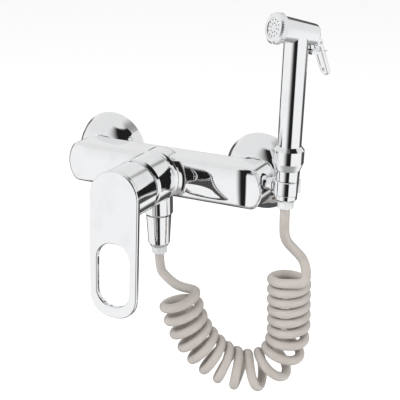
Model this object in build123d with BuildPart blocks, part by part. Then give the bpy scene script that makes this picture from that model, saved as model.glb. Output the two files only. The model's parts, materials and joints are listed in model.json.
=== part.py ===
from build123d import *
import math
import os

# Wall-mounted single-lever mixer with a hand spray on a spiral hose.
# Millimetres. Origin on the wall plane, midway between the two wall studs.
# +X to the right, +Z up, and the wall behind the tap towards +Y.
# A depth is a distance from the wall into the room, so it lies at Y = -depth.

# Fits shared by many pieces
THREAD_GAP = 0.05
SEAT_GAP = 0.2
SLIDE_GAP = 0.3
RUNNING_GAP = 0.06

# Wall unions, escutcheons and their nuts
INLET_SPACING = 150.0
STUD_RADIUS = 10.48
STUD_LENGTH = 14.0
STUD_CHAMFER = 0.8
WATERWAY_RADIUS = 7.0
UNION_HEX_FLATS = 25.0
UNION_HEX_DEPTH = 5.0
UNION_THREAD_RADIUS = 12.0
WASHER_THICKNESS = 1.5
NUT_HEX_FLATS = 27.0
NUT_CORNER_ROUNDING = 0.35
NUT_LENGTH = 17.3
NUT_BAR_GAP = 0.7
ESCUTCHEON_RADIUS = 33.8
ESCUTCHEON_RIM_STEP = 2.5
ESCUTCHEON_RIM_DEPTH = 6.0
ESCUTCHEON_DEPTH = 19.0
ESCUTCHEON_WALL = 1.5
ESCUTCHEON_BULGE = 2.4
ESCUTCHEON_NUT_GAP = 0.6

# Bar of the mixer body
BAR_BACK = 26.0
BAR_DEPTH = 28.0
BAR_HEIGHT = 35.2
BAR_RISE = 0.8
BAR_LEFT = 89.0
BAR_RIGHT = 98.5
BAR_END_BULGE = 7.0
BAR_CORNER = 8.0
BAR_FRONT_ROUNDING = 3.0
BAR_BACK_ROUNDING = 2.5
SPIGOT_LENGTH = 7.5
SPIGOT_RADIUS = 10.2
SPIGOT_FLANGE_RADIUS = 11.8
SPIGOT_FLANGE_THICKNESS = 1.8

# Cartridge housing on the bar
HOUSING_RADIUS = 22.3
HOUSING_BACK = 38.0
HOUSING_FRONT = 84.3
HOUSING_BACK_ROUNDING = 3.5
HOUSING_FRONT_CHAMFER = 1.0
CHAMBER_FLOOR = 57.0
CARTRIDGE_RADIUS = 17.3
CARTRIDGE_GAP = 0.2
NUT_THREAD_RADIUS = 19.0
CHANNEL_RADIUS = 5.0
CHANNEL_RISE = 3.0
INLET_PORT_RADIUS = 3.2
INLET_PORT_OFFSET = 8.0
OUTLET_PORT_RADIUS = 4.0
DRILL_OVERRUN = 1.2  # the outlet's drilling ends this far above its port
OUTLET_PORT_DROP = 9.0

# Cartridge pieces, from the chamber floor outwards
SEAL_THICKNESS = 1.0
SEAL_LAND = 1.4
CARTRIDGE_BASE_THICKNESS = 3.0
DISC_THICKNESS = 3.0
FIXED_DISC_RADIUS = 15.0
MOVING_DISC_RADIUS = 10.0
MOVING_DISC_POCKET = 4.5
CARRIER_THICKNESS = 4.5
CARRIER_SOCKET_GAP = 0.3
SHELL_WALL = 1.6
SHELL_TOP = 3.0
ROTOR_FLANGE_GAP = 0.4
ROTOR_FLANGE_THICKNESS = 4.5
ROTOR_NECK_RADIUS = 11.5
ROTOR_PAST_PIVOT = 5.0
ROTOR_SLOT_GAP = 0.1
ROTOR_SLOT_UP = 6.2
ROTOR_SLOT_DOWN = 8.0
PIN_RADIUS = 1.5
PIN_INSET = 1.0
PRESS_GAP = 0.02
CARTRIDGE_NUT_THICKNESS = 2.7
CARTRIDGE_NUT_BORE = 13.0
DOME_RADIUS = 20.3
DOME_WALL = 2.0
DOME_PAST_PIVOT = 12.0

# Lever, its spindle and its fixings
SEAM_WIDTH = 5.7
HUB_RADIUS = 22.3
HUB_EDGE_ROUNDING = 1.0
HUB_CAVITY_GAP = 0.5
LEVER_FACE = 122.0
HUB_FRONT_INSET = 2.5
LEVER_TILT = 3.25
LEVER_TOP_RADIUS = 22.75
LEVER_FOOT_HALF_WIDTH = 22.0
LEVER_DROP = 102.2
LEVER_THICKNESS = 4.5
LEVER_FOOT_ROUNDING = 19.0
LEVER_EDGE_ROUNDING = 1.2
SLOT_WIDTH = 30.7
SLOT_LENGTH = 54.5
SLOT_ROUNDING = 14.0
SLOT_MARGIN = 9.5
SPINDLE_WIDTH = 8.0
SPINDLE_BALL_RADIUS = 2.6
SPINDLE_NECK_RADIUS = 2.0
SPINDLE_TIP_ARM = 19.8
SPINDLE_SQUARE_BACK = 4.5
SPINDLE_PAST_PIVOT = 21.8
SOCKET_BOSS_RADIUS = 8.5
SOCKET_PAST_PIVOT = 9.0
SOCKET_END_GAP = 0.3
GRUB_RADIUS = 2.95
GRUB_LENGTH = 9.0
GRUB_PAST_PIVOT = 15.0
PLUG_LENGTH = 3.0

# Outlet, with the conical nut of the hose below it
OUTLET_DEPTH = 49.0
OUTLET_RADIUS = 12.4
OUTLET_FOOT = 36.2
OUTLET_FOOT_RADIUS = 10.9
OUTLET_CHAMFER = 1.9
OUTLET_BORE = 5.5
NIPPLE_RADIUS = 9.0
NIPPLE_ABOVE = 11.8
NIPPLE_BELOW = 10.8
LOWER_NUT_TOP_RADIUS = 10.95
LOWER_NUT_FOOT_RADIUS = 9.35
LOWER_NUT_LENGTH = 28.6
NUT_FOOT_CHAMFER = 2.9
NUT_FOOT_STEP = 1.75
HOSE_WASHER_THICKNESS = 1.5
HOSE_WASHER_WALL = 3.9
SLEEVE_FLANGE_THICKNESS = 1.8
SLEEVE_RADIUS = 6.6
SLEEVE_GAP = 0.1
SLEEVE_BORE = 3.0
SLEEVE_FOOT_ROUNDING = 1.6
SLEEVE_SHOWING = 7.4

# Holder at the right end of the bar
HOLDER_DEPTH = 45.0
HOLDER_RISE = 6.2
BALL_X = 97.2
BALL_RADIUS = 5.8
BALL_POCKET_RADIUS = 7.6
BALL_STUD_RADIUS = 3.0
BALL_STUD_REACH = 14.0
NECK_RADIUS = 5.2
NECK_START = 4.2
NECK_FLANGE_RADIUS = 6.1
NECK_FLANGE_START = 7.4
NECK_FLANGE_WIDTH = 1.5
RING_RADIUS = 11.3
RING_HEIGHT = 11.8
RING_SLOT_WIDTH = 9.4
RING_EDGE_ROUNDING = 0.4
HOLDER_SCREW_RADIUS = 1.6
HOLDER_SCREW_HEAD = 3.0
HOLDER_SCREW_REACH = 12.0
HOLDER_SCREW_INSET = 0.25

# Hand spray, measured along its own handle from the middle of the holder ring
SPRAY_X = 117.2
SPRAY_TILT = 2.25
HANDLE_RADIUS = 9.65
COLLAR_RADIUS = 12.4
COLLAR_FOOT = 14.8
COLLAR_FOOT_RADIUS = 10.1
COLLAR_LOW = 20.8
COLLAR_HIGH = 31.3
COLLAR_TOP = 34.6
SPRAY_STUB_RADIUS = 8.0
SPRAY_STUB_LENGTH = 10.8
SPRAY_BORE = 5.5
UPPER_NUT_TOP_RADIUS = 10.0
UPPER_NUT_FOOT_RADIUS = 9.0
UPPER_NUT_LENGTH = 26.3
UPPER_NUT_CHAMFER = 1.5
UPPER_NUT_STEP = 1.4
HEAD_HEIGHT = 125.8
HEAD_YAW = 32.5
HEAD_TILT = 12.2
HEAD_REAR = 17.3
HEAD_REAR_RADIUS = 8.7
HEAD_REAR_ROUNDING = 1.6
HEAD_FRONT = 16.8
HEAD_FRONT_RADIUS = 10.6
HEAD_CHAMBER_RADIUS = 8.0
HEAD_CHAMBER_BACK = 3.0
HEAD_SPIGOT_RADIUS = 9.15
HEAD_SPIGOT_LENGTH = 1.2
GASKET_THICKNESS = 0.5
FACE_FLANGE_THICKNESS = 2.2
FACE_RADIUS = 7.8
FACE_PROUD = 1.7
FACE_RING_RADIUS = 12.2
FACE_RING_LIP = 2.1
FACE_RING_BEVEL = 1.6
KNURL_COUNT = 40
KNURL_RADIUS = 0.55
OUTER_JETS = 12
OUTER_JET_CIRCLE = 6.4
INNER_JETS = 8
INNER_JET_CIRCLE = 3.5
JET_RADIUS = 0.55

# Trigger and the valve that it opens, placed from the centre of the spray head
PIVOT_BACK = 19.5
PIVOT_DROP = 8.8
LUG_RADIUS = 3.1
LUG_THICKNESS = 4.2
LUG_SIDE_GAP = 0.3
TRIGGER_SPLAY = 23.0
TRIGGER_WIDTH = 11.4
TRIGGER_FOOT_WIDTH = 10.4
TRIGGER_LENGTH = 29.6
TRIGGER_THICKNESS = 3.4
TRIGGER_LOOP_MARGIN = 3.6
TRIGGER_EAR_RADIUS = 2.9
TRIGGER_EDGE_ROUNDING = 0.8
TRIGGER_PIN_RADIUS = 1.3
HEEL_DROP = 7.2
HEEL_THICKNESS = 2.0
HEEL_REACH = 7.6
VALVE_BACK = 13.5
VALVE_BOSS_RADIUS = 3.6
VALVE_BOSS_DROP = 13.5
STEM_RADIUS = 1.8
STEM_FLANGE_RADIUS = 2.4
STEM_FLANGE_THICKNESS = 1.0
STEM_TOP_DROP = 3.0
POCKET_RADIUS = 2.6
POCKET_FLOOR_DROP = 10.2
POCKET_TOP_DROP = 0.3
VALVE_SEAL_THICKNESS = 1.0
SPRING_WIRE_RADIUS = 0.25
SPRING_RADIUS = 2.13
SPRING_TURNS = 4

# Spiral hose: one tube with its tails and its curls
HOSE_RADIUS = 4.1
CURL_RADIUS = 14.9
CURL_COUNT = 18
CURL_GAP = 0.96
LOOSE_PITCH = 12.1
TIGHTENING_START = 80.0
TIGHTENING_END = 106.0
CURL_PLANE_DEPTH = 47.0
CURL_PLANE_TURN = 25.0
CURL_PLANE_MIDDLE = 70.5
CURL_ROUTE = (
    (23.9, -98.6),
    (29.9, -124.6),
    (43.2, -147.6),
    (60.6, -164.2),
    (83.0, -173.0),
    (102.2, -168.6),
    (114.6, -155.0),
    (119.4, -138.0),
    (119.5, -121.1),
    (118.9, -104.8),
    (118.6, -60.0),
)
LOWER_TAIL = ((6.8, -51.0, -93.7),)
UPPER_TAIL = (
    (127.5, -24.5, -65.0),
    (117.9, -27.0, -55.3),
    (114.6, -38.0, -44.1),
)
LOWER_END_RUN = 16.1
UPPER_END_RUN = 18.0
LOWER_JOIN_RUN = 6.5
UPPER_JOIN_RUN = 14.5

# Places worked out from the sizes above
BAR_FRONT = BAR_BACK + BAR_DEPTH
SPIGOT_FACE = BAR_BACK - SPIGOT_LENGTH
UNION_END = SPIGOT_FACE - WASHER_THICKNESS
NUT_BACK = BAR_BACK - NUT_BAR_GAP
NUT_FRONT = NUT_BACK - NUT_LENGTH
NUT_SHOULDER = SPIGOT_FACE + SPIGOT_FLANGE_THICKNESS + SEAT_GAP
NUT_CORNER_RADIUS = NUT_HEX_FLATS / 2 / math.cos(math.radians(30)) - NUT_CORNER_ROUNDING
PIVOT_DEPTH = HOUSING_FRONT + SEAM_WIDTH

BASE_BACK = CHAMBER_FLOOR + SEAL_THICKNESS
FIXED_DISC_BACK = BASE_BACK + CARTRIDGE_BASE_THICKNESS
MOVING_DISC_BACK = FIXED_DISC_BACK + DISC_THICKNESS
CARRIER_BACK = MOVING_DISC_BACK + DISC_THICKNESS
ROTOR_BACK = CARRIER_BACK + CARRIER_THICKNESS + SLIDE_GAP
ROTOR_SHOULDER = ROTOR_BACK + ROTOR_FLANGE_THICKNESS
SHELL_INNER_TOP = ROTOR_SHOULDER + SLIDE_GAP
SHELL_FRONT = SHELL_INNER_TOP + SHELL_TOP
CARTRIDGE_NUT_FRONT = SHELL_FRONT + CARTRIDGE_NUT_THICKNESS
ROTOR_FRONT = PIVOT_DEPTH + ROTOR_PAST_PIVOT
DOME_FRONT = PIVOT_DEPTH + DOME_PAST_PIVOT
HUB_CAVITY_RADIUS = DOME_RADIUS + HUB_CAVITY_GAP
SOCKET_BACK = PIVOT_DEPTH + SOCKET_PAST_PIVOT
SPINDLE_FRONT = PIVOT_DEPTH + SPINDLE_PAST_PIVOT
GRUB_DEPTH = PIVOT_DEPTH + GRUB_PAST_PIVOT

NIPPLE_FOOT = OUTLET_FOOT + NIPPLE_BELOW
LOWER_NUT_TOP = OUTLET_FOOT + SEAT_GAP
LOWER_NUT_FOOT = LOWER_NUT_TOP + LOWER_NUT_LENGTH
LOWER_FLANGE_TOP = NIPPLE_FOOT + HOSE_WASHER_THICKNESS
LOWER_FLANGE_FOOT = LOWER_FLANGE_TOP + SLEEVE_FLANGE_THICKNESS
LOWER_SLEEVE_FOOT = LOWER_NUT_FOOT + SLEEVE_SHOWING

UPPER_NUT_TOP = COLLAR_FOOT - SEAT_GAP
UPPER_NUT_FOOT = UPPER_NUT_TOP - UPPER_NUT_LENGTH
STUB_FOOT = COLLAR_FOOT - SPRAY_STUB_LENGTH
UPPER_FLANGE_TOP = STUB_FOOT - HOSE_WASHER_THICKNESS
UPPER_FLANGE_FOOT = UPPER_FLANGE_TOP - SLEEVE_FLANGE_THICKNESS
UPPER_SLEEVE_FOOT = UPPER_NUT_FOOT - SLEEVE_SHOWING

# Section planes of the turned pieces: the first sketch axis is the radius
ALONG_Y = Axis((0, 0, 0), (0, 1, 0))
OUTLET_AXIS = Axis((0, -OUTLET_DEPTH, 0), (0, 0, 1))
OUTLET_SECTION = Plane(origin=(0, -OUTLET_DEPTH, 0), x_dir=(1, 0, 0), z_dir=(0, -1, 0))

TILT = math.radians(SPRAY_TILT)
YAW = math.radians(HEAD_YAW)
SPRAY_UP = Vector(math.sin(TILT), 0, math.cos(TILT))
SPRAY_AIM = Vector(-math.sin(YAW), -math.cos(YAW), 0)
SPRAY_FORWARD = (SPRAY_AIM - SPRAY_UP * SPRAY_AIM.dot(SPRAY_UP)).normalized()
SPRAY_SIDE = SPRAY_UP.cross(SPRAY_FORWARD)
SPRAY_ORIGIN = Vector(SPRAY_X, -HOLDER_DEPTH, HOLDER_RISE)
SPRAY_AXIS = Axis(SPRAY_ORIGIN, SPRAY_UP)
SPRAY_SECTION = Plane(
    origin=SPRAY_ORIGIN, x_dir=SPRAY_FORWARD, z_dir=SPRAY_FORWARD.cross(SPRAY_UP)
)

PITCH = math.radians(HEAD_TILT)
HEAD_CENTRE = SPRAY_ORIGIN + SPRAY_UP * HEAD_HEIGHT
HEAD_AIM = SPRAY_FORWARD * math.cos(PITCH) + SPRAY_UP * math.sin(PITCH)
HEAD_UP = SPRAY_UP * math.cos(PITCH) - SPRAY_FORWARD * math.sin(PITCH)
HEAD_AXIS = Axis(HEAD_CENTRE, HEAD_AIM)
HEAD_SECTION = Plane(origin=HEAD_CENTRE, x_dir=HEAD_AIM, z_dir=HEAD_AIM.cross(HEAD_UP))

# Head stations, measured forwards from the head centre
SPIGOT_FRONT = HEAD_FRONT + HEAD_SPIGOT_LENGTH
FACE_BACK = SPIGOT_FRONT + GASKET_THICKNESS
FACE_SHOULDER = FACE_BACK + FACE_FLANGE_THICKNESS
FACE_FRONT = FACE_SHOULDER + FACE_PROUD
FACE_RING_FRONT = FACE_SHOULDER + FACE_RING_LIP


def closed_outline(*points):
    """Fill the outline of straight runs through these points of the current sketch."""
    with BuildLine() as outline:
        Polyline(*points, close=True)
    make_face(outline.edges())


def inlet_section(side):
    """Section plane of one inlet: radius along X, and Y along its axis."""
    return Plane(origin=(side * INLET_SPACING / 2, 0, 0), x_dir=(1, 0, 0), z_dir=(0, 0, 1))


def inlet_axis(side):
    """Axis of one inlet, square to the wall."""
    return Axis((side * INLET_SPACING / 2, 0, 0), (0, 1, 0))


def facing_room(x, depth, z):
    """Sketch plane parallel to the wall, seen from the room, at a depth from it."""
    return Plane(origin=(x, -depth, z), x_dir=(1, 0, 0), z_dir=(0, -1, 0))


def spray_level(height, forward=0.0):
    """Sketch plane square to the handle, at a height along it."""
    origin = SPRAY_ORIGIN + SPRAY_UP * height + SPRAY_FORWARD * forward
    return Plane(origin=origin, x_dir=SPRAY_FORWARD, z_dir=SPRAY_UP)


def head_level(station):
    """Sketch plane square to the spray head, at a station along it."""
    return Plane(origin=HEAD_CENTRE + HEAD_AIM * station, x_dir=SPRAY_SIDE, z_dir=HEAD_AIM)


def finish(built, name):
    """Label a finished sub-part and write it out."""
    built.part.label = name
    export_step(built.part, f"parts/{name}.step")


os.makedirs("parts", exist_ok=True)

# Pieces at each inlet
washers = []
for side, side_name in ((-1, "left"), (1, "right")):
    with BuildPart() as wall_union:
        with BuildSketch(inlet_section(side)):
            closed_outline(
                (WATERWAY_RADIUS, STUD_LENGTH),
                (STUD_RADIUS - STUD_CHAMFER, STUD_LENGTH),
                (STUD_RADIUS, STUD_LENGTH - STUD_CHAMFER),
                (STUD_RADIUS, -UNION_HEX_DEPTH),
                (UNION_THREAD_RADIUS, -UNION_HEX_DEPTH),
                (UNION_THREAD_RADIUS, -UNION_END),
                (WATERWAY_RADIUS, -UNION_END),
            )
        revolve(axis=inlet_axis(side))
        with BuildSketch(facing_room(side * INLET_SPACING / 2, 0, 0)):
            RegularPolygon(UNION_HEX_FLATS / 2, 6, major_radius=False)
            Circle(WATERWAY_RADIUS, mode=Mode.SUBTRACT)
        extrude(amount=UNION_HEX_DEPTH)
    finish(wall_union, f"wall_union_{side_name}")

    rim_radius = ESCUTCHEON_RADIUS - ESCUTCHEON_RIM_STEP
    mouth_radius = NUT_CORNER_RADIUS + ESCUTCHEON_NUT_GAP
    brow_radius = mouth_radius + ESCUTCHEON_WALL
    chord = Vector(brow_radius - rim_radius, -(ESCUTCHEON_DEPTH - ESCUTCHEON_RIM_DEPTH))
    bulge = Vector(-chord.Y, chord.X).normalized() * ESCUTCHEON_BULGE
    outer_mid = Vector(rim_radius, -ESCUTCHEON_RIM_DEPTH) + chord * 0.5 + bulge
    inner_mid = outer_mid - bulge.normalized() * ESCUTCHEON_WALL
    with BuildPart() as escutcheon:
        with BuildSketch(inlet_section(side)):
            with BuildLine():
                Line((ESCUTCHEON_RADIUS, 0), (rim_radius, -ESCUTCHEON_RIM_DEPTH))
                ThreePointArc(
                    (rim_radius, -ESCUTCHEON_RIM_DEPTH),
                    (outer_mid.X, outer_mid.Y),
                    (brow_radius, -ESCUTCHEON_DEPTH),
                )
                Polyline(
                    (brow_radius, -ESCUTCHEON_DEPTH),
                    (mouth_radius, -ESCUTCHEON_DEPTH),
                    (mouth_radius, -ESCUTCHEON_DEPTH + ESCUTCHEON_WALL),
                )
                ThreePointArc(
                    (mouth_radius, -ESCUTCHEON_DEPTH + ESCUTCHEON_WALL),
                    (inner_mid.X, inner_mid.Y),
                    (rim_radius - ESCUTCHEON_WALL, -ESCUTCHEON_RIM_DEPTH),
                )
                Polyline(
                    (rim_radius - ESCUTCHEON_WALL, -ESCUTCHEON_RIM_DEPTH),
                    (ESCUTCHEON_RADIUS - ESCUTCHEON_WALL, 0),
                    (ESCUTCHEON_RADIUS, 0),
                )
            make_face()
        revolve(axis=inlet_axis(side))
    finish(escutcheon, f"escutcheon_{side_name}")

    with BuildPart() as inlet_nut:
        with BuildSketch(facing_room(side * INLET_SPACING / 2, NUT_FRONT, 0)):
            RegularPolygon(NUT_HEX_FLATS / 2, 6, major_radius=False)
            Circle(NUT_CORNER_RADIUS, mode=Mode.INTERSECT)
            Circle(SPIGOT_RADIUS + SEAT_GAP, mode=Mode.SUBTRACT)
        extrude(amount=NUT_LENGTH)
        with BuildSketch(facing_room(side * INLET_SPACING / 2, NUT_FRONT, 0)):
            Circle(UNION_THREAD_RADIUS + THREAD_GAP)
        extrude(amount=NUT_SHOULDER - NUT_FRONT, mode=Mode.SUBTRACT)
    finish(inlet_nut, f"inlet_nut_{side_name}")

with BuildPart() as inlet_washers:
    for side in (-1, 1):
        with BuildSketch(facing_room(side * INLET_SPACING / 2, UNION_END, 0)):
            Circle(SPIGOT_FLANGE_RADIUS)
            Circle(WATERWAY_RADIUS, mode=Mode.SUBTRACT)
        extrude(amount=WASHER_THICKNESS)
finish(inlet_washers, "inlet_washers")

# Mixer body: bar, housing, outlet and the waterways inside
ball_centre = (BALL_X, -HOLDER_DEPTH, HOLDER_RISE)
screw_plane = Plane(origin=ball_centre, x_dir=(1, 0, 0), z_dir=(0, -1, 0))
SCREW_AXIS = Axis(ball_centre, (1, 0, 0))
half_height = BAR_HEIGHT / 2
bar_top = BAR_RISE + half_height
bar_foot = BAR_RISE - half_height
with BuildPart() as mixer_body:
    with BuildSketch(facing_room(0, BAR_BACK, 0)) as bar_outline:
        with BuildLine():
            Line((BAR_END_BULGE - BAR_LEFT, bar_top), (BAR_RIGHT - BAR_END_BULGE, bar_top))
            ThreePointArc(
                (BAR_RIGHT - BAR_END_BULGE, bar_top),
                (BAR_RIGHT, BAR_RISE),
                (BAR_RIGHT - BAR_END_BULGE, bar_foot),
            )
            Line((BAR_RIGHT - BAR_END_BULGE, bar_foot), (BAR_END_BULGE - BAR_LEFT, bar_foot))
            ThreePointArc(
                (BAR_END_BULGE - BAR_LEFT, bar_foot),
                (-BAR_LEFT, BAR_RISE),
                (BAR_END_BULGE - BAR_LEFT, bar_top),
            )
        make_face()
        fillet(bar_outline.vertices(), BAR_CORNER)
    extrude(amount=BAR_DEPTH)
    fillet(mixer_body.faces().sort_by(Axis.Y)[0].edges(), BAR_FRONT_ROUNDING)
    fillet(mixer_body.faces().sort_by(Axis.Y)[-1].edges(), BAR_BACK_ROUNDING)
    with BuildSketch(Plane.XY):
        with BuildLine():
            Line((0, -HOUSING_BACK), (HOUSING_RADIUS - HOUSING_BACK_ROUNDING, -HOUSING_BACK))
            RadiusArc(
                (HOUSING_RADIUS - HOUSING_BACK_ROUNDING, -HOUSING_BACK),
                (HOUSING_RADIUS, -HOUSING_BACK - HOUSING_BACK_ROUNDING),
                HOUSING_BACK_ROUNDING,
            )
            Polyline(
                (HOUSING_RADIUS, -HOUSING_BACK - HOUSING_BACK_ROUNDING),
                (HOUSING_RADIUS, -HOUSING_FRONT + HOUSING_FRONT_CHAMFER),
                (HOUSING_RADIUS - HOUSING_FRONT_CHAMFER, -HOUSING_FRONT),
                (0, -HOUSING_FRONT),
                (0, -HOUSING_BACK),
            )
        make_face()
    revolve(axis=ALONG_Y)
    with BuildSketch(OUTLET_SECTION):
        closed_outline(
            (0, 0),
            (OUTLET_RADIUS, 0),
            (OUTLET_RADIUS, -OUTLET_FOOT + OUTLET_CHAMFER),
            (OUTLET_FOOT_RADIUS, -OUTLET_FOOT),
            (0, -OUTLET_FOOT),
        )
    revolve(axis=OUTLET_AXIS)
    for side in (-1, 1):
        with BuildSketch(inlet_section(side)):
            closed_outline(
                (0, -BAR_BACK - BAR_DEPTH / 2),
                (SPIGOT_RADIUS, -BAR_BACK - BAR_DEPTH / 2),
                (SPIGOT_RADIUS, -SPIGOT_FACE - SPIGOT_FLANGE_THICKNESS),
                (SPIGOT_FLANGE_RADIUS, -SPIGOT_FACE - SPIGOT_FLANGE_THICKNESS),
                (SPIGOT_FLANGE_RADIUS, -SPIGOT_FACE),
                (0, -SPIGOT_FACE),
            )
        revolve(axis=inlet_axis(side))
    # Cartridge chamber and its wider threaded mouth
    with BuildSketch(facing_room(0, CHAMBER_FLOOR, 0)):
        Circle(CARTRIDGE_RADIUS + CARTRIDGE_GAP)
    extrude(amount=HOUSING_FRONT - CHAMBER_FLOOR, mode=Mode.SUBTRACT)
    with BuildSketch(facing_room(0, SHELL_FRONT - SLIDE_GAP, 0)):
        Circle(NUT_THREAD_RADIUS + THREAD_GAP)
    extrude(amount=HOUSING_FRONT - SHELL_FRONT + SLIDE_GAP, mode=Mode.SUBTRACT)
    # Inlet bores, the channels along the bar and the ports into the chamber
    channel_depth = BAR_BACK + BAR_DEPTH / 2
    for side in (-1, 1):
        with BuildSketch(facing_room(side * INLET_SPACING / 2, SPIGOT_FACE, 0)):
            Circle(WATERWAY_RADIUS)
        extrude(amount=channel_depth - SPIGOT_FACE, mode=Mode.SUBTRACT)
        port_x = side * INLET_PORT_OFFSET
        with BuildSketch(Plane.YZ.offset(port_x)):
            with Locations((-channel_depth, CHANNEL_RISE)):
                Circle(CHANNEL_RADIUS)
        extrude(amount=side * (INLET_SPACING / 2 - INLET_PORT_OFFSET), mode=Mode.SUBTRACT)
        with BuildSketch(facing_room(port_x, channel_depth, CHANNEL_RISE)):
            Circle(INLET_PORT_RADIUS)
        extrude(amount=CHAMBER_FLOOR - channel_depth, mode=Mode.SUBTRACT)
    with BuildSketch(facing_room(0, OUTLET_DEPTH, -OUTLET_PORT_DROP)):
        Circle(OUTLET_PORT_RADIUS)
    extrude(amount=CHAMBER_FLOOR - OUTLET_DEPTH, mode=Mode.SUBTRACT)
    with BuildSketch(OUTLET_SECTION):
        closed_outline(
            (0, -OUTLET_PORT_DROP + OUTLET_PORT_RADIUS + DRILL_OVERRUN),
            (OUTLET_BORE, -OUTLET_PORT_DROP + OUTLET_PORT_RADIUS + DRILL_OVERRUN),
            (OUTLET_BORE, -OUTLET_FOOT + NIPPLE_ABOVE + SEAT_GAP),
            (NIPPLE_RADIUS + THREAD_GAP, -OUTLET_FOOT + NIPPLE_ABOVE + SEAT_GAP),
            (NIPPLE_RADIUS + THREAD_GAP, -OUTLET_FOOT),
            (0, -OUTLET_FOOT),
        )
    revolve(axis=OUTLET_AXIS, mode=Mode.SUBTRACT)
    # Pocket and tapped hole for the holder's ball
    pocket_reach = math.sqrt(BALL_POCKET_RADIUS**2 - (BALL_STUD_RADIUS + THREAD_GAP) ** 2)
    with BuildSketch(screw_plane):
        with BuildLine():
            Polyline(
                (BALL_POCKET_RADIUS, 0),
                (-BALL_STUD_REACH - SEAT_GAP, 0),
                (-BALL_STUD_REACH - SEAT_GAP, BALL_STUD_RADIUS + THREAD_GAP),
                (-pocket_reach, BALL_STUD_RADIUS + THREAD_GAP),
            )
            ThreePointArc(
                (-pocket_reach, BALL_STUD_RADIUS + THREAD_GAP),
                (0, BALL_POCKET_RADIUS),
                (BALL_POCKET_RADIUS, 0),
            )
        make_face()
    revolve(axis=SCREW_AXIS, mode=Mode.SUBTRACT)
finish(mixer_body, "mixer_body")

# Cartridge
PORTS = (
    (-INLET_PORT_OFFSET, CHANNEL_RISE, INLET_PORT_RADIUS),
    (INLET_PORT_OFFSET, CHANNEL_RISE, INLET_PORT_RADIUS),
    (0, -OUTLET_PORT_DROP, OUTLET_PORT_RADIUS),
)

with BuildPart() as cartridge_seals:
    for port_x, port_z, port_radius in PORTS:
        with BuildSketch(facing_room(port_x, CHAMBER_FLOOR, port_z)):
            Circle(port_radius + SEAL_LAND)
            Circle(port_radius, mode=Mode.SUBTRACT)
        extrude(amount=SEAL_THICKNESS)
finish(cartridge_seals, "cartridge_seals")

with BuildPart() as cartridge_base:
    with BuildSketch(facing_room(0, BASE_BACK, 0)):
        Circle(CARTRIDGE_RADIUS)
        for port_x, port_z, port_radius in PORTS:
            with Locations((port_x, port_z)):
                Circle(port_radius, mode=Mode.SUBTRACT)
    extrude(amount=CARTRIDGE_BASE_THICKNESS)
finish(cartridge_base, "cartridge_base")

with BuildPart() as fixed_disc:
    with BuildSketch(facing_room(0, FIXED_DISC_BACK, 0)):
        Circle(FIXED_DISC_RADIUS)
        for port_x, port_z, port_radius in PORTS:
            with Locations((port_x, port_z)):
                Circle(port_radius, mode=Mode.SUBTRACT)
    extrude(amount=DISC_THICKNESS)
finish(fixed_disc, "fixed_disc")

with BuildPart() as moving_disc:
    with BuildSketch(facing_room(0, MOVING_DISC_BACK, 0)):
        Circle(MOVING_DISC_RADIUS)
    extrude(amount=DISC_THICKNESS)
    with BuildSketch(facing_room(0, MOVING_DISC_BACK, 0)):
        Circle(MOVING_DISC_POCKET)
    extrude(amount=DISC_THICKNESS / 2, mode=Mode.SUBTRACT)
finish(moving_disc, "moving_disc")

with BuildPart() as disc_carrier:
    with BuildSketch(facing_room(0, CARRIER_BACK, 0)):
        Circle(MOVING_DISC_RADIUS)
        Circle(SPINDLE_BALL_RADIUS + CARRIER_SOCKET_GAP, mode=Mode.SUBTRACT)
    extrude(amount=CARRIER_THICKNESS)
finish(disc_carrier, "disc_carrier")

with BuildPart() as cartridge_shell:
    with BuildSketch(Plane.XY):
        closed_outline(
            (CARTRIDGE_RADIUS - SHELL_WALL, -FIXED_DISC_BACK),
            (CARTRIDGE_RADIUS, -FIXED_DISC_BACK),
            (CARTRIDGE_RADIUS, -SHELL_FRONT),
            (ROTOR_NECK_RADIUS + RUNNING_GAP, -SHELL_FRONT),
            (ROTOR_NECK_RADIUS + RUNNING_GAP, -SHELL_INNER_TOP),
            (CARTRIDGE_RADIUS - SHELL_WALL, -SHELL_INNER_TOP),
        )
    revolve(axis=ALONG_Y)
finish(cartridge_shell, "cartridge_shell")

with BuildPart() as rotor:
    with BuildSketch(Plane.XY):
        closed_outline(
            (0, -ROTOR_BACK),
            (CARTRIDGE_RADIUS - SHELL_WALL - ROTOR_FLANGE_GAP, -ROTOR_BACK),
            (CARTRIDGE_RADIUS - SHELL_WALL - ROTOR_FLANGE_GAP, -ROTOR_SHOULDER),
            (ROTOR_NECK_RADIUS, -ROTOR_SHOULDER),
            (ROTOR_NECK_RADIUS, -ROTOR_FRONT),
            (0, -ROTOR_FRONT),
        )
    revolve(axis=ALONG_Y)
    with BuildSketch(facing_room(0, ROTOR_BACK, (ROTOR_SLOT_UP - ROTOR_SLOT_DOWN) / 2)):
        Rectangle(SPINDLE_WIDTH + 2 * ROTOR_SLOT_GAP, ROTOR_SLOT_UP + ROTOR_SLOT_DOWN)
    extrude(amount=ROTOR_FRONT - ROTOR_BACK, mode=Mode.SUBTRACT)
    with BuildSketch(Plane.YZ):
        with Locations((-PIVOT_DEPTH, 0)):
            Circle(PIN_RADIUS + PRESS_GAP)
    extrude(amount=ROTOR_NECK_RADIUS, both=True, mode=Mode.SUBTRACT)
finish(rotor, "rotor")

with BuildPart() as rotor_pin:
    with BuildSketch(Plane.YZ):
        with Locations((-PIVOT_DEPTH, 0)):
            Circle(PIN_RADIUS)
    extrude(amount=ROTOR_NECK_RADIUS - PIN_INSET, both=True)
finish(rotor_pin, "rotor_pin")

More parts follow.
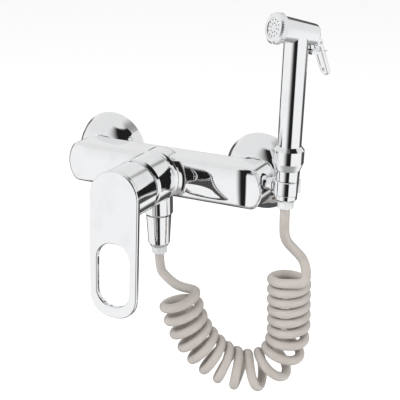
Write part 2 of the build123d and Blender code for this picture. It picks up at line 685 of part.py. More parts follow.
with BuildPart() as cartridge_nut:
    with BuildSketch(facing_room(0, SHELL_FRONT, 0)):
        Circle(NUT_THREAD_RADIUS)
        Circle(CARTRIDGE_NUT_BORE, mode=Mode.SUBTRACT)
    extrude(amount=CARTRIDGE_NUT_THICKNESS)
finish(cartridge_nut, "cartridge_nut")

inner_dome = DOME_RADIUS - DOME_WALL


def on_sphere(radius, depth):
    """Distance from the housing's axis of a sphere about the lever pivot, at a depth."""
    return math.sqrt(radius**2 - (depth - PIVOT_DEPTH) ** 2)


with BuildPart() as cartridge_dome:
    with BuildSketch(Plane.XY):
        with BuildLine():
            Polyline(
                (on_sphere(inner_dome, HOUSING_FRONT), -HOUSING_FRONT),
                (on_sphere(inner_dome, HOUSING_FRONT), -CARTRIDGE_NUT_FRONT),
                (NUT_THREAD_RADIUS, -CARTRIDGE_NUT_FRONT),
                (NUT_THREAD_RADIUS, -HOUSING_FRONT),
                (on_sphere(DOME_RADIUS, HOUSING_FRONT), -HOUSING_FRONT),
            )
            ThreePointArc(
                (on_sphere(DOME_RADIUS, HOUSING_FRONT), -HOUSING_FRONT),
                (DOME_RADIUS, -PIVOT_DEPTH),
                (on_sphere(DOME_RADIUS, DOME_FRONT), -DOME_FRONT),
            )
            Line(
                (on_sphere(DOME_RADIUS, DOME_FRONT), -DOME_FRONT),
                (on_sphere(inner_dome, DOME_FRONT), -DOME_FRONT),
            )
            ThreePointArc(
                (on_sphere(inner_dome, DOME_FRONT), -DOME_FRONT),
                (inner_dome, -PIVOT_DEPTH),
                (on_sphere(inner_dome, HOUSING_FRONT), -HOUSING_FRONT),
            )
        make_face()
    revolve(axis=ALONG_Y)
finish(cartridge_dome, "cartridge_dome")

# Lever with its hollow hub, spindle, grub screw and plug
tilt = math.radians(LEVER_TILT)
LEVER_PLANE = Plane(
    origin=(0, -LEVER_FACE, 0),
    x_dir=(1, 0, 0),
    z_dir=(0, -math.cos(tilt), math.sin(tilt)),
)
hub_front = LEVER_FACE - HUB_FRONT_INSET
slot_centre = SLOT_MARGIN + SLOT_LENGTH / 2 - LEVER_DROP
with BuildPart() as lever_handle:
    with BuildSketch(LEVER_PLANE) as plate_outline:
        with BuildLine():
            ThreePointArc(
                (-LEVER_TOP_RADIUS, 0), (0, LEVER_TOP_RADIUS), (LEVER_TOP_RADIUS, 0)
            )
            Polyline(
                (LEVER_TOP_RADIUS, 0),
                (LEVER_FOOT_HALF_WIDTH, -LEVER_DROP),
                (-LEVER_FOOT_HALF_WIDTH, -LEVER_DROP),
                (-LEVER_TOP_RADIUS, 0),
            )
        make_face()
        fillet(plate_outline.vertices().group_by(Axis.Z)[0], LEVER_FOOT_ROUNDING)
        with Locations((0, slot_centre)):
            RectangleRounded(SLOT_WIDTH, SLOT_LENGTH, SLOT_ROUNDING, mode=Mode.SUBTRACT)
    extrude(amount=-LEVER_THICKNESS)
    plate_faces = lever_handle.faces().sort_by(Axis((0, 0, 0), LEVER_PLANE.z_dir))
    fillet(plate_faces[-1].edges() + plate_faces[0].edges(), LEVER_EDGE_ROUNDING)
    with BuildSketch(Plane.XY):
        with BuildLine():
            Line(
                (HUB_CAVITY_RADIUS, -PIVOT_DEPTH),
                (HUB_RADIUS - HUB_EDGE_ROUNDING, -PIVOT_DEPTH),
            )
            RadiusArc(
                (HUB_RADIUS - HUB_EDGE_ROUNDING, -PIVOT_DEPTH),
                (HUB_RADIUS, -PIVOT_DEPTH - HUB_EDGE_ROUNDING),
                HUB_EDGE_ROUNDING,
            )
            Polyline(
                (HUB_RADIUS, -PIVOT_DEPTH - HUB_EDGE_ROUNDING),
                (HUB_RADIUS, -hub_front),
                (0, -hub_front),
                (0, -PIVOT_DEPTH - HUB_CAVITY_RADIUS),
            )
            ThreePointArc(
                (0, -PIVOT_DEPTH - HUB_CAVITY_RADIUS),
                (
                    HUB_CAVITY_RADIUS * math.sin(math.pi / 4),
                    -PIVOT_DEPTH - HUB_CAVITY_RADIUS * math.cos(math.pi / 4),
                ),
                (HUB_CAVITY_RADIUS, -PIVOT_DEPTH),
            )
        make_face()
    revolve(axis=ALONG_Y)
    with BuildSketch(facing_room(0, SOCKET_BACK, 0)):
        Circle(SOCKET_BOSS_RADIUS)
    extrude(amount=hub_front - SOCKET_BACK)
    with BuildSketch(facing_room(0, SOCKET_BACK, 0)):
        Rectangle(SPINDLE_WIDTH + 2 * THREAD_GAP, SPINDLE_WIDTH + 2 * THREAD_GAP)
    extrude(amount=SPINDLE_FRONT + SOCKET_END_GAP - SOCKET_BACK, mode=Mode.SUBTRACT)
    with BuildSketch(Plane.XY):
        with Locations((0, -GRUB_DEPTH)):
            Circle(GRUB_RADIUS + THREAD_GAP)
    extrude(amount=-HUB_RADIUS, mode=Mode.SUBTRACT)
finish(lever_handle, "lever_handle")

with BuildPart() as spindle:
    with Locations((0, -PIVOT_DEPTH + SPINDLE_TIP_ARM, 0)):
        Sphere(SPINDLE_BALL_RADIUS)
    with BuildSketch(facing_room(0, PIVOT_DEPTH - SPINDLE_TIP_ARM, 0)):
        Circle(SPINDLE_NECK_RADIUS)
    extrude(amount=SPINDLE_TIP_ARM)
    with BuildSketch(facing_room(0, PIVOT_DEPTH - SPINDLE_SQUARE_BACK, 0)):
        Rectangle(SPINDLE_WIDTH, SPINDLE_WIDTH)
    extrude(amount=SPINDLE_FRONT - PIVOT_DEPTH + SPINDLE_SQUARE_BACK)
    with BuildSketch(Plane.YZ):
        with Locations((-PIVOT_DEPTH, 0)):
            Circle(PIN_RADIUS + RUNNING_GAP)
    extrude(amount=SPINDLE_WIDTH, both=True, mode=Mode.SUBTRACT)
finish(spindle, "spindle")

screw_top = -SPINDLE_WIDTH / 2 - THREAD_GAP
with BuildPart() as lever_screw:
    with BuildSketch(Plane.XY.offset(screw_top)):
        with Locations((0, -GRUB_DEPTH)):
            Circle(GRUB_RADIUS)
    extrude(amount=-GRUB_LENGTH)
    with BuildSketch(Plane.XY.offset(screw_top - GRUB_LENGTH)):
        with Locations((0, -GRUB_DEPTH)):
            RegularPolygon(GRUB_RADIUS / 2, 6)
    extrude(amount=GRUB_RADIUS, mode=Mode.SUBTRACT)
finish(lever_screw, "lever_screw")

with BuildPart() as lever_plug:
    with BuildSketch(Plane.XY.offset(-HUB_RADIUS + SEAT_GAP)):
        with Locations((0, -GRUB_DEPTH)):
            Circle(GRUB_RADIUS)
    extrude(amount=PLUG_LENGTH)
finish(lever_plug, "lever_plug")

# Outlet nipple and the lower end of the hose
with BuildPart() as outlet_nipple:
    with BuildSketch(OUTLET_SECTION):
        closed_outline(
            (OUTLET_BORE, -OUTLET_FOOT + NIPPLE_ABOVE),
            (NIPPLE_RADIUS, -OUTLET_FOOT + NIPPLE_ABOVE),
            (NIPPLE_RADIUS, -NIPPLE_FOOT),
            (OUTLET_BORE, -NIPPLE_FOOT),
        )
    revolve(axis=OUTLET_AXIS)
finish(outlet_nipple, "outlet_nipple")

with BuildPart() as hose_washer_lower:
    with BuildSketch(OUTLET_SECTION):
        closed_outline(
            (NIPPLE_RADIUS - HOSE_WASHER_WALL, -NIPPLE_FOOT),
            (NIPPLE_RADIUS - SLEEVE_GAP, -NIPPLE_FOOT),
            (NIPPLE_RADIUS - SLEEVE_GAP, -LOWER_FLANGE_TOP),
            (NIPPLE_RADIUS - HOSE_WASHER_WALL, -LOWER_FLANGE_TOP),
        )
    revolve(axis=OUTLET_AXIS)
finish(hose_washer_lower, "hose_washer_lower")

with BuildPart() as hose_sleeve_lower:
    with BuildSketch(OUTLET_SECTION):
        with BuildLine():
            Polyline(
                (SLEEVE_RADIUS - SLEEVE_FOOT_ROUNDING, -LOWER_SLEEVE_FOOT),
                (SLEEVE_BORE, -LOWER_SLEEVE_FOOT),
                (SLEEVE_BORE, -LOWER_FLANGE_TOP),
                (NIPPLE_RADIUS - SLEEVE_GAP, -LOWER_FLANGE_TOP),
                (NIPPLE_RADIUS - SLEEVE_GAP, -LOWER_FLANGE_FOOT),
                (SLEEVE_RADIUS, -LOWER_FLANGE_FOOT),
                (SLEEVE_RADIUS, -LOWER_SLEEVE_FOOT + SLEEVE_FOOT_ROUNDING),
            )
            RadiusArc(
                (SLEEVE_RADIUS, -LOWER_SLEEVE_FOOT + SLEEVE_FOOT_ROUNDING),
                (SLEEVE_RADIUS - SLEEVE_FOOT_ROUNDING, -LOWER_SLEEVE_FOOT),
                SLEEVE_FOOT_ROUNDING,
            )
        make_face()
    revolve(axis=OUTLET_AXIS)
finish(hose_sleeve_lower, "hose_sleeve_lower")

with BuildPart() as hose_nut_lower:
    with BuildSketch(OUTLET_SECTION):
        closed_outline(
            (NIPPLE_RADIUS + THREAD_GAP, -LOWER_NUT_TOP),
            (LOWER_NUT_TOP_RADIUS, -LOWER_NUT_TOP),
            (LOWER_NUT_FOOT_RADIUS, -LOWER_NUT_FOOT + NUT_FOOT_CHAMFER),
            (LOWER_NUT_FOOT_RADIUS - NUT_FOOT_STEP, -LOWER_NUT_FOOT),
            (SLEEVE_RADIUS + SLEEVE_GAP, -LOWER_NUT_FOOT),
            (SLEEVE_RADIUS + SLEEVE_GAP, -LOWER_FLANGE_FOOT - SEAT_GAP),
            (NIPPLE_RADIUS + THREAD_GAP, -LOWER_FLANGE_FOOT - SEAT_GAP),
        )
    revolve(axis=OUTLET_AXIS)
finish(hose_nut_lower, "hose_nut_lower")

# Upper end of the hose, in the frame of the hand spray
with BuildPart() as hose_washer_upper:
    with BuildSketch(SPRAY_SECTION):
        closed_outline(
            (SPRAY_STUB_RADIUS - HOSE_WASHER_WALL, STUB_FOOT),
            (SPRAY_STUB_RADIUS - SLEEVE_GAP, STUB_FOOT),
            (SPRAY_STUB_RADIUS - SLEEVE_GAP, UPPER_FLANGE_TOP),
            (SPRAY_STUB_RADIUS - HOSE_WASHER_WALL, UPPER_FLANGE_TOP),
        )
    revolve(axis=SPRAY_AXIS)
finish(hose_washer_upper, "hose_washer_upper")

with BuildPart() as hose_sleeve_upper:
    with BuildSketch(SPRAY_SECTION):
        with BuildLine():
            Polyline(
                (SLEEVE_RADIUS - SLEEVE_FOOT_ROUNDING, UPPER_SLEEVE_FOOT),
                (SLEEVE_BORE, UPPER_SLEEVE_FOOT),
                (SLEEVE_BORE, UPPER_FLANGE_TOP),
                (SPRAY_STUB_RADIUS - SLEEVE_GAP, UPPER_FLANGE_TOP),
                (SPRAY_STUB_RADIUS - SLEEVE_GAP, UPPER_FLANGE_FOOT),
                (SLEEVE_RADIUS, UPPER_FLANGE_FOOT),
                (SLEEVE_RADIUS, UPPER_SLEEVE_FOOT + SLEEVE_FOOT_ROUNDING),
            )
            RadiusArc(
                (SLEEVE_RADIUS, UPPER_SLEEVE_FOOT + SLEEVE_FOOT_ROUNDING),
                (SLEEVE_RADIUS - SLEEVE_FOOT_ROUNDING, UPPER_SLEEVE_FOOT),
                SLEEVE_FOOT_ROUNDING,
            )
        make_face()
    revolve(axis=SPRAY_AXIS)
finish(hose_sleeve_upper, "hose_sleeve_upper")

with BuildPart() as hose_nut_upper:
    with BuildSketch(SPRAY_SECTION):
        closed_outline(
            (SPRAY_STUB_RADIUS + THREAD_GAP, UPPER_NUT_TOP),
            (UPPER_NUT_TOP_RADIUS, UPPER_NUT_TOP),
            (UPPER_NUT_FOOT_RADIUS, UPPER_NUT_FOOT + UPPER_NUT_CHAMFER),
            (UPPER_NUT_FOOT_RADIUS - UPPER_NUT_STEP, UPPER_NUT_FOOT),
            (SLEEVE_RADIUS + SLEEVE_GAP, UPPER_NUT_FOOT),
            (SLEEVE_RADIUS + SLEEVE_GAP, UPPER_FLANGE_FOOT - SEAT_GAP),
            (SPRAY_STUB_RADIUS + THREAD_GAP, UPPER_FLANGE_FOOT - SEAT_GAP),
        )
    revolve(axis=SPRAY_AXIS)
finish(hose_nut_upper, "hose_nut_upper")

# Holder: ball stud in the bar's end, ring with an open side, and its screw
ball_plane = Plane(origin=ball_centre, x_dir=(0, 1, 0), z_dir=(1, 0, 0))
screw_hole_radius = HOLDER_SCREW_RADIUS + THREAD_GAP
with BuildPart() as holder_ball:
    with BuildSketch(screw_plane):
        with BuildLine():
            Polyline(
                (-BALL_RADIUS, 0),
                (-BALL_STUD_REACH, 0),
                (-BALL_STUD_REACH, BALL_STUD_RADIUS),
                (-math.sqrt(BALL_RADIUS**2 - BALL_STUD_RADIUS**2), BALL_STUD_RADIUS),
            )
            ThreePointArc(
                (-math.sqrt(BALL_RADIUS**2 - BALL_STUD_RADIUS**2), BALL_STUD_RADIUS),
                (0, BALL_RADIUS),
                (math.sqrt(BALL_RADIUS**2 - screw_hole_radius**2), screw_hole_radius),
            )
            Polyline(
                (math.sqrt(BALL_RADIUS**2 - screw_hole_radius**2), screw_hole_radius),
                (-BALL_RADIUS, screw_hole_radius),
                (-BALL_RADIUS, 0),
            )
        make_face()
    revolve(axis=SCREW_AXIS)
finish(holder_ball, "holder_ball")

nut_taper = (UPPER_NUT_TOP_RADIUS - UPPER_NUT_FOOT_RADIUS) / (UPPER_NUT_LENGTH - UPPER_NUT_CHAMFER)


def ring_bore(height):
    """Bore of the holder ring at a height: the nut's cone there plus the sliding gap."""
    return UPPER_NUT_TOP_RADIUS - nut_taper * (UPPER_NUT_TOP - height) + SLIDE_GAP


ring_inner_x = SPRAY_X - ring_bore(0) - HOLDER_SCREW_INSET
head_reach = ring_inner_x - BALL_X
cone_reach = head_reach - HOLDER_SCREW_HEAD + HOLDER_SCREW_RADIUS
seat_radius = BALL_RADIUS + THREAD_GAP
with BuildPart() as holder_ring:
    with BuildSketch(SPRAY_SECTION):
        closed_outline(
            (0, RING_HEIGHT / 2),
            (RING_RADIUS - RING_EDGE_ROUNDING, RING_HEIGHT / 2),
            (RING_RADIUS, RING_HEIGHT / 2 - RING_EDGE_ROUNDING),
            (RING_RADIUS, RING_EDGE_ROUNDING - RING_HEIGHT / 2),
            (RING_RADIUS - RING_EDGE_ROUNDING, -RING_HEIGHT / 2),
            (0, -RING_HEIGHT / 2),
        )
    revolve(axis=SPRAY_AXIS)
    with BuildSketch(ball_plane.offset(NECK_START)):
        Circle(NECK_RADIUS)
    extrude(amount=head_reach - NECK_START)
    with BuildSketch(ball_plane.offset(NECK_FLANGE_START)):
        Circle(NECK_FLANGE_RADIUS)
    extrude(amount=NECK_FLANGE_WIDTH)
    with BuildSketch(screw_plane):
        with BuildLine():
            Line((0, 0), (0, seat_radius))
            ThreePointArc(
                (0, seat_radius),
                (seat_radius * math.sin(math.pi / 4), seat_radius * math.cos(math.pi / 4)),
                (math.sqrt(seat_radius**2 - screw_hole_radius**2), screw_hole_radius),
            )
            Polyline(
                (math.sqrt(seat_radius**2 - screw_hole_radius**2), screw_hole_radius),
                (cone_reach, screw_hole_radius),
                (head_reach, HOLDER_SCREW_HEAD + THREAD_GAP),
                (SPRAY_X - BALL_X, HOLDER_SCREW_HEAD + THREAD_GAP),
                (SPRAY_X - BALL_X, 0),
                (0, 0),
            )
        make_face()
    revolve(axis=SCREW_AXIS, mode=Mode.SUBTRACT)
    with BuildSketch(SPRAY_SECTION):
        closed_outline(
            (0, RING_HEIGHT),
            (ring_bore(RING_HEIGHT), RING_HEIGHT),
            (ring_bore(-RING_HEIGHT), -RING_HEIGHT),
            (0, -RING_HEIGHT),
        )
    revolve(axis=SPRAY_AXIS, mode=Mode.SUBTRACT)
    with BuildSketch(Plane(origin=SPRAY_ORIGIN, x_dir=(0, 1, 0), z_dir=(1, 0, 0))):
        Rectangle(RING_SLOT_WIDTH, 2 * RING_HEIGHT)
    extrude(amount=2 * RING_RADIUS, mode=Mode.SUBTRACT)
finish(holder_ring, "holder_ring")

with BuildPart() as holder_screw:
    with BuildSketch(screw_plane):
        closed_outline(
            (head_reach - HOLDER_SCREW_REACH, 0),
            (head_reach - HOLDER_SCREW_REACH, HOLDER_SCREW_RADIUS),
            (cone_reach, HOLDER_SCREW_RADIUS),
            (head_reach, HOLDER_SCREW_HEAD),
            (head_reach, 0),
        )
    revolve(axis=SCREW_AXIS)
finish(holder_screw, "holder_screw")

# Hand spray: handle, head, valve boss and trigger lug in one casting
stub_top = HEAD_HEIGHT
with BuildPart() as sprayer_body:
    with BuildSketch(SPRAY_SECTION):
        closed_outline(
            (0, STUB_FOOT),
            (SPRAY_STUB_RADIUS, STUB_FOOT),
            (SPRAY_STUB_RADIUS, COLLAR_FOOT),
            (COLLAR_FOOT_RADIUS, COLLAR_FOOT),
            (COLLAR_RADIUS, COLLAR_LOW),
            (COLLAR_RADIUS, COLLAR_HIGH),
            (HANDLE_RADIUS, COLLAR_TOP),
            (HANDLE_RADIUS, stub_top),
            (0, stub_top),
        )
    revolve(axis=SPRAY_AXIS)
    with BuildSketch(HEAD_SECTION):
        with BuildLine():
            Line((-HEAD_REAR, 0), (-HEAD_REAR, HEAD_REAR_RADIUS - HEAD_REAR_ROUNDING))
            RadiusArc(
                (-HEAD_REAR, HEAD_REAR_RADIUS - HEAD_REAR_ROUNDING),
                (HEAD_REAR_ROUNDING - HEAD_REAR, HEAD_REAR_RADIUS),
                HEAD_REAR_ROUNDING,
            )
            Polyline(
                (HEAD_REAR_ROUNDING - HEAD_REAR, HEAD_REAR_RADIUS),
                (HEAD_FRONT, HEAD_FRONT_RADIUS),
                (HEAD_FRONT, HEAD_SPIGOT_RADIUS),
                (SPIGOT_FRONT, HEAD_SPIGOT_RADIUS),
                (SPIGOT_FRONT, 0),
                (-HEAD_REAR, 0),
            )
        make_face()
    revolve(axis=HEAD_AXIS)
    with BuildSketch(spray_level(HEAD_HEIGHT - VALVE_BOSS_DROP, -VALVE_BACK)):
        Circle(VALVE_BOSS_RADIUS)
    extrude(amount=VALVE_BOSS_DROP - STEM_TOP_DROP)
    with BuildSketch(SPRAY_SECTION):
        with Locations((-PIVOT_BACK, HEAD_HEIGHT - PIVOT_DROP)):
            Circle(LUG_RADIUS)
        closed_outline(
            (-PIVOT_BACK, HEAD_HEIGHT - PIVOT_DROP + LUG_RADIUS),
            (-VALVE_BACK, HEAD_HEIGHT - PIVOT_DROP + LUG_RADIUS),
            (-VALVE_BACK, HEAD_HEIGHT - PIVOT_DROP - LUG_RADIUS),
            (-PIVOT_BACK, HEAD_HEIGHT - PIVOT_DROP - LUG_RADIUS),
        )
    extrude(amount=LUG_THICKNESS / 2, both=True)
    with BuildSketch(spray_level(STUB_FOOT)):
        Circle(SPRAY_BORE)
    extrude(amount=HEAD_HEIGHT - STUB_FOOT, mode=Mode.SUBTRACT)
    with BuildSketch(head_level(-HEAD_CHAMBER_BACK)):
        Circle(HEAD_CHAMBER_RADIUS)
    extrude(amount=SPIGOT_FRONT + HEAD_CHAMBER_BACK, mode=Mode.SUBTRACT)
    with BuildSketch(spray_level(HEAD_HEIGHT - VALVE_BOSS_DROP, -VALVE_BACK)):
        Circle(STEM_RADIUS + RUNNING_GAP)
    extrude(amount=VALVE_BOSS_DROP - POCKET_FLOOR_DROP, mode=Mode.SUBTRACT)
    with BuildSketch(spray_level(HEAD_HEIGHT - POCKET_FLOOR_DROP, -VALVE_BACK)):
        Circle(POCKET_RADIUS)
    extrude(amount=POCKET_FLOOR_DROP - POCKET_TOP_DROP, mode=Mode.SUBTRACT)
    with BuildSketch(head_level(-VALVE_BACK)):
        Circle(SPINDLE_NECK_RADIUS)
    extrude(amount=VALVE_BACK - HEAD_CHAMBER_BACK, mode=Mode.SUBTRACT)
    with BuildSketch(SPRAY_SECTION):
        with Locations((-PIVOT_BACK, HEAD_HEIGHT - PIVOT_DROP)):
            Circle(TRIGGER_PIN_RADIUS + PRESS_GAP)
    extrude(amount=LUG_THICKNESS, both=True, mode=Mode.SUBTRACT)
finish(sprayer_body, "sprayer_body")

with BuildPart() as face_gasket:
    with BuildSketch(head_level(SPIGOT_FRONT)):
        Circle(HEAD_SPIGOT_RADIUS)
        Circle(HEAD_CHAMBER_RADIUS, mode=Mode.SUBTRACT)
    extrude(amount=GASKET_THICKNESS)
finish(face_gasket, "face_gasket")

with BuildPart() as spray_face:
    with BuildSketch(head_level(FACE_BACK)):
        Circle(HEAD_SPIGOT_RADIUS)
    extrude(amount=FACE_FLANGE_THICKNESS)
    with BuildSketch(head_level(FACE_BACK)):
        Circle(FACE_RADIUS)
    extrude(amount=FACE_FRONT - FACE_BACK)
    with BuildSketch(head_level(FACE_BACK)):
        with PolarLocations(OUTER_JET_CIRCLE, OUTER_JETS):
            Circle(JET_RADIUS)
        with PolarLocations(INNER_JET_CIRCLE, INNER_JETS):
            Circle(JET_RADIUS)
    extrude(amount=FACE_FRONT - FACE_BACK, mode=Mode.SUBTRACT)
finish(spray_face, "spray_face")

ring_bore_radius = HEAD_SPIGOT_RADIUS + SLEEVE_GAP
with BuildPart() as face_ring:
    with BuildSketch(HEAD_SECTION):
        closed_outline(
            (HEAD_FRONT + SEAT_GAP, ring_bore_radius),
            (HEAD_FRONT + SEAT_GAP, FACE_RING_RADIUS),
            (FACE_RING_FRONT - FACE_RING_BEVEL, FACE_RING_RADIUS),
            (FACE_RING_FRONT, FACE_RING_RADIUS - FACE_RING_BEVEL),
            (FACE_RING_FRONT, FACE_RADIUS + SLEEVE_GAP),
            (FACE_SHOULDER, FACE_RADIUS + SLEEVE_GAP),
            (FACE_SHOULDER, ring_bore_radius),
        )
    revolve(axis=HEAD_AXIS)
    with BuildSketch(head_level(HEAD_FRONT)):
        with PolarLocations(FACE_RING_RADIUS, KNURL_COUNT):
            Circle(KNURL_RADIUS)
    extrude(amount=FACE_RING_FRONT - HEAD_FRONT, mode=Mode.SUBTRACT)
finish(face_ring, "face_ring")

# Trigger: two legs joined in a loop at the foot and by a heel under the valve stem
splay = math.radians(TRIGGER_SPLAY)
pivot = HEAD_CENTRE - SPRAY_FORWARD * PIVOT_BACK - SPRAY_UP * PIVOT_DROP
trigger_normal = SPRAY_UP * math.sin(splay) - SPRAY_FORWARD * math.cos(splay)
TRIGGER_PLANE = Plane(origin=pivot, x_dir=SPRAY_SIDE, z_dir=trigger_normal)
leg_gap = LUG_THICKNESS + 2 * LUG_SIDE_GAP
foot_radius = TRIGGER_FOOT_WIDTH / 2
slot_foot = TRIGGER_LENGTH - TRIGGER_LOOP_MARGIN - leg_gap / 2
heel_level = HEAD_HEIGHT - PIVOT_DROP - HEEL_DROP
with BuildPart() as trigger:
    with BuildSketch(TRIGGER_PLANE):
        with BuildLine():
            Polyline(
                (foot_radius, TRIGGER_LENGTH - foot_radius),
                (TRIGGER_WIDTH / 2, -TRIGGER_EAR_RADIUS),
                (-TRIGGER_WIDTH / 2, -TRIGGER_EAR_RADIUS),
                (-foot_radius, TRIGGER_LENGTH - foot_radius),
            )
            ThreePointArc(
                (-foot_radius, TRIGGER_LENGTH - foot_radius),
                (0, TRIGGER_LENGTH),
                (foot_radius, TRIGGER_LENGTH - foot_radius),
            )
        make_face()
    extrude(amount=TRIGGER_THICKNESS / 2, both=True)
    fillet(
        trigger.faces().sort_by(Axis((0, 0, 0), trigger_normal))[-1].edges()
        + trigger.faces().sort_by(Axis((0, 0, 0), trigger_normal))[0].edges(),
        TRIGGER_EDGE_ROUNDING,
    )
    with BuildSketch(SPRAY_SECTION):
        with Locations((-PIVOT_BACK, HEAD_HEIGHT - PIVOT_DROP)):
            Circle(TRIGGER_EAR_RADIUS)
    extrude(amount=TRIGGER_WIDTH / 2, both=True)
    with BuildSketch(TRIGGER_PLANE):
        with Locations((0, (slot_foot - 2 * TRIGGER_EAR_RADIUS) / 2)):
            Rectangle(leg_gap, slot_foot + 2 * TRIGGER_EAR_RADIUS)
        with Locations((0, slot_foot)):
            Circle(leg_gap / 2)
    extrude(amount=2 * TRIGGER_EAR_RADIUS, both=True, mode=Mode.SUBTRACT)
    with BuildSketch(SPRAY_SECTION):
        closed_outline(
            (-PIVOT_BACK - HEEL_REACH, heel_level),
            (-PIVOT_BACK + HEEL_REACH, heel_level),
            (-PIVOT_BACK + HEEL_REACH, heel_level - HEEL_THICKNESS),
            (-PIVOT_BACK - HEEL_DROP * math.tan(splay), heel_level - HEEL_THICKNESS),
        )
    extrude(amount=TRIGGER_WIDTH / 2 - TRIGGER_EDGE_ROUNDING, both=True)
    with BuildSketch(SPRAY_SECTION):
        with Locations((-PIVOT_BACK, HEAD_HEIGHT - PIVOT_DROP)):
            Circle(TRIGGER_PIN_RADIUS + RUNNING_GAP)
    extrude(amount=TRIGGER_WIDTH, both=True, mode=Mode.SUBTRACT)
finish(trigger, "trigger")

with BuildPart() as trigger_pin:
    with BuildSketch(SPRAY_SECTION):
        with Locations((-PIVOT_BACK, HEAD_HEIGHT - PIVOT_DROP)):
            Circle(TRIGGER_PIN_RADIUS)
    extrude(amount=TRIGGER_WIDTH / 2, both=True)
finish(trigger_pin, "trigger_pin")

# Valve stem with its seal, and the spring that returns it
stem_foot = heel_level + SLIDE_GAP
flange_foot = HEAD_HEIGHT - POCKET_FLOOR_DROP + SEAT_GAP
stem_top = HEAD_HEIGHT - STEM_TOP_DROP
STEM_SECTION = Plane(
    origin=SPRAY_ORIGIN - SPRAY_FORWARD * VALVE_BACK,
    x_dir=SPRAY_FORWARD,
    z_dir=SPRAY_FORWARD.cross(SPRAY_UP),
)
STEM_AXIS = Axis(STEM_SECTION.origin, SPRAY_UP)
with BuildPart() as valve_stem:
    with BuildSketch(STEM_SECTION):
        with BuildLine():
            RadiusArc((0, stem_foot), (STEM_RADIUS, stem_foot + STEM_RADIUS), -STEM_RADIUS)
            Polyline(
                (STEM_RADIUS, stem_foot + STEM_RADIUS),
                (STEM_RADIUS, flange_foot),
                (STEM_FLANGE_RADIUS, flange_foot),
                (STEM_FLANGE_RADIUS, flange_foot + STEM_FLANGE_THICKNESS),
                (STEM_RADIUS, flange_foot + STEM_FLANGE_THICKNESS),
                (STEM_RADIUS, stem_top),
                (0, stem_top),
                (0, stem_foot),
            )
        make_face()
    revolve(axis=STEM_AXIS)
finish(valve_stem, "valve_stem")

with BuildPart() as valve_seal:
    with BuildSketch(spray_level(stem_top, -VALVE_BACK)):
        Circle(STEM_RADIUS)
    extrude(amount=VALVE_SEAL_THICKNESS)
finish(valve_seal, "valve_seal")


def biarc(start, start_aim, end, end_aim):
    """Join two points by two tangent arcs that start and end in the given directions."""
    across = end - start
    aims = start_aim + end_aim
    bend = 2 * (1 - start_aim.dot(end_aim))
    reach = across.dot(aims)
    handle = (math.sqrt(reach**2 + bend * across.dot(across)) - reach) / bend
    joint = (start + start_aim * handle + end - end_aim * handle) * 0.5
    joint_aim = ((end - end_aim * handle) - (start + start_aim * handle)).normalized()
    TangentArc(start, joint, tangent=start_aim)
    TangentArc(joint, end, tangent=joint_aim)


def quarter_turns(centre_at, aim_at, stations, radius, side, first_angle, hand):
    """Points and directions of a coil at each quarter turn along a centre line."""
    points = []
    for count, station in enumerate(stations):
        along = aim_at(station)
        outwards = side.cross(along).normalized()
        angle = first_angle + hand * count * math.pi / 2
        arm = outwards * math.cos(angle) + side * math.sin(angle)
        turn = side * math.cos(angle) - outwards * math.sin(angle)
        before = stations[max(count - 1, 0)]
        after = stations[min(count + 1, len(stations) - 1)]
        advance = (after - before) / (min(count + 1, len(stations) - 1) - max(count - 1, 0))
        sweep_rate = hand * radius * math.pi / 2
        points.append(
            (centre_at(station) + arm * radius, (turn * sweep_rate + along * advance).normalized())
        )
    return points


# Valve spring, a short coil between the stem's flange and the roof of its pocket
spring_foot = flange_foot + STEM_FLANGE_THICKNESS + SPRING_WIRE_RADIUS + PRESS_GAP
spring_top = HEAD_HEIGHT - POCKET_TOP_DROP - SPRING_WIRE_RADIUS - PRESS_GAP
spring_quarters = 4 * SPRING_TURNS
spring_stations = [
    spring_foot + (spring_top - spring_foot) * count / spring_quarters
    for count in range(spring_quarters + 1)
]
spring_points = quarter_turns(
    lambda station: STEM_SECTION.origin + SPRAY_UP * station,
    lambda station: SPRAY_UP,
    spring_stations,
    SPRING_RADIUS,
    SPRAY_SIDE,
    0.0,
    1,
)
with BuildPart() as valve_spring:
    with BuildLine() as spring_path:
        for (start, start_aim), (end, end_aim) in zip(spring_points, spring_points[1:]):
            biarc(start, start_aim, end, end_aim)
    with BuildSketch(Plane(origin=spring_points[0][0], z_dir=spring_points[0][1])):
        Circle(SPRING_WIRE_RADIUS)
    sweep(path=spring_path.wire())
finish(valve_spring, "valve_spring")

# Hose centre line: a quadratic blend of the route's points, as a draughtsman's spline,
# in an upright plane that is turned a little from the wall
plane_turn = math.radians(CURL_PLANE_TURN)
plane_level = Vector(math.cos(plane_turn), math.sin(plane_turn), 0)
plane_side = Vector(-math.sin(plane_turn), math.cos(plane_turn), 0)
plane_middle = Vector(CURL_PLANE_MIDDLE, -CURL_PLANE_DEPTH, 0)
route_points = [
    plane_middle + plane_level * (x - CURL_PLANE_MIDDLE) + Vector(0, 0, z) for x, z in CURL_ROUTE
]


def blend_point(along):
    """Point of the clamped quadratic blend of the route, for along from 0 to 1."""
    spans = len(route_points) - 2
    knots = [0.0] * 3 + [float(span) for span in range(1, spans)] + [float(spans)] * 3
    place = min(max(along, 0.0), 1.0) * spans
    span = min(int(place), spans - 1)
    work = [route_points[span + index] for index in range(3)]
    for level in (1, 2):
        for index in range(2, level - 1, -1):
            low = knots[span + index]
            high = knots[span + index + 3 - level]
            share = (place - low) / (high - low)
            work[index] = work[index - 1] * (1 - share) + work[index] * share
    return work[2]


ROUTE_STEPS = 600
route_line = [blend_point(step / ROUTE_STEPS) for step in range(ROUTE_STEPS + 1)]
route_length = [0.0]
for before, after in zip(route_line, route_line[1:]):
    route_length.append(route_length[-1] + (after - before).length)


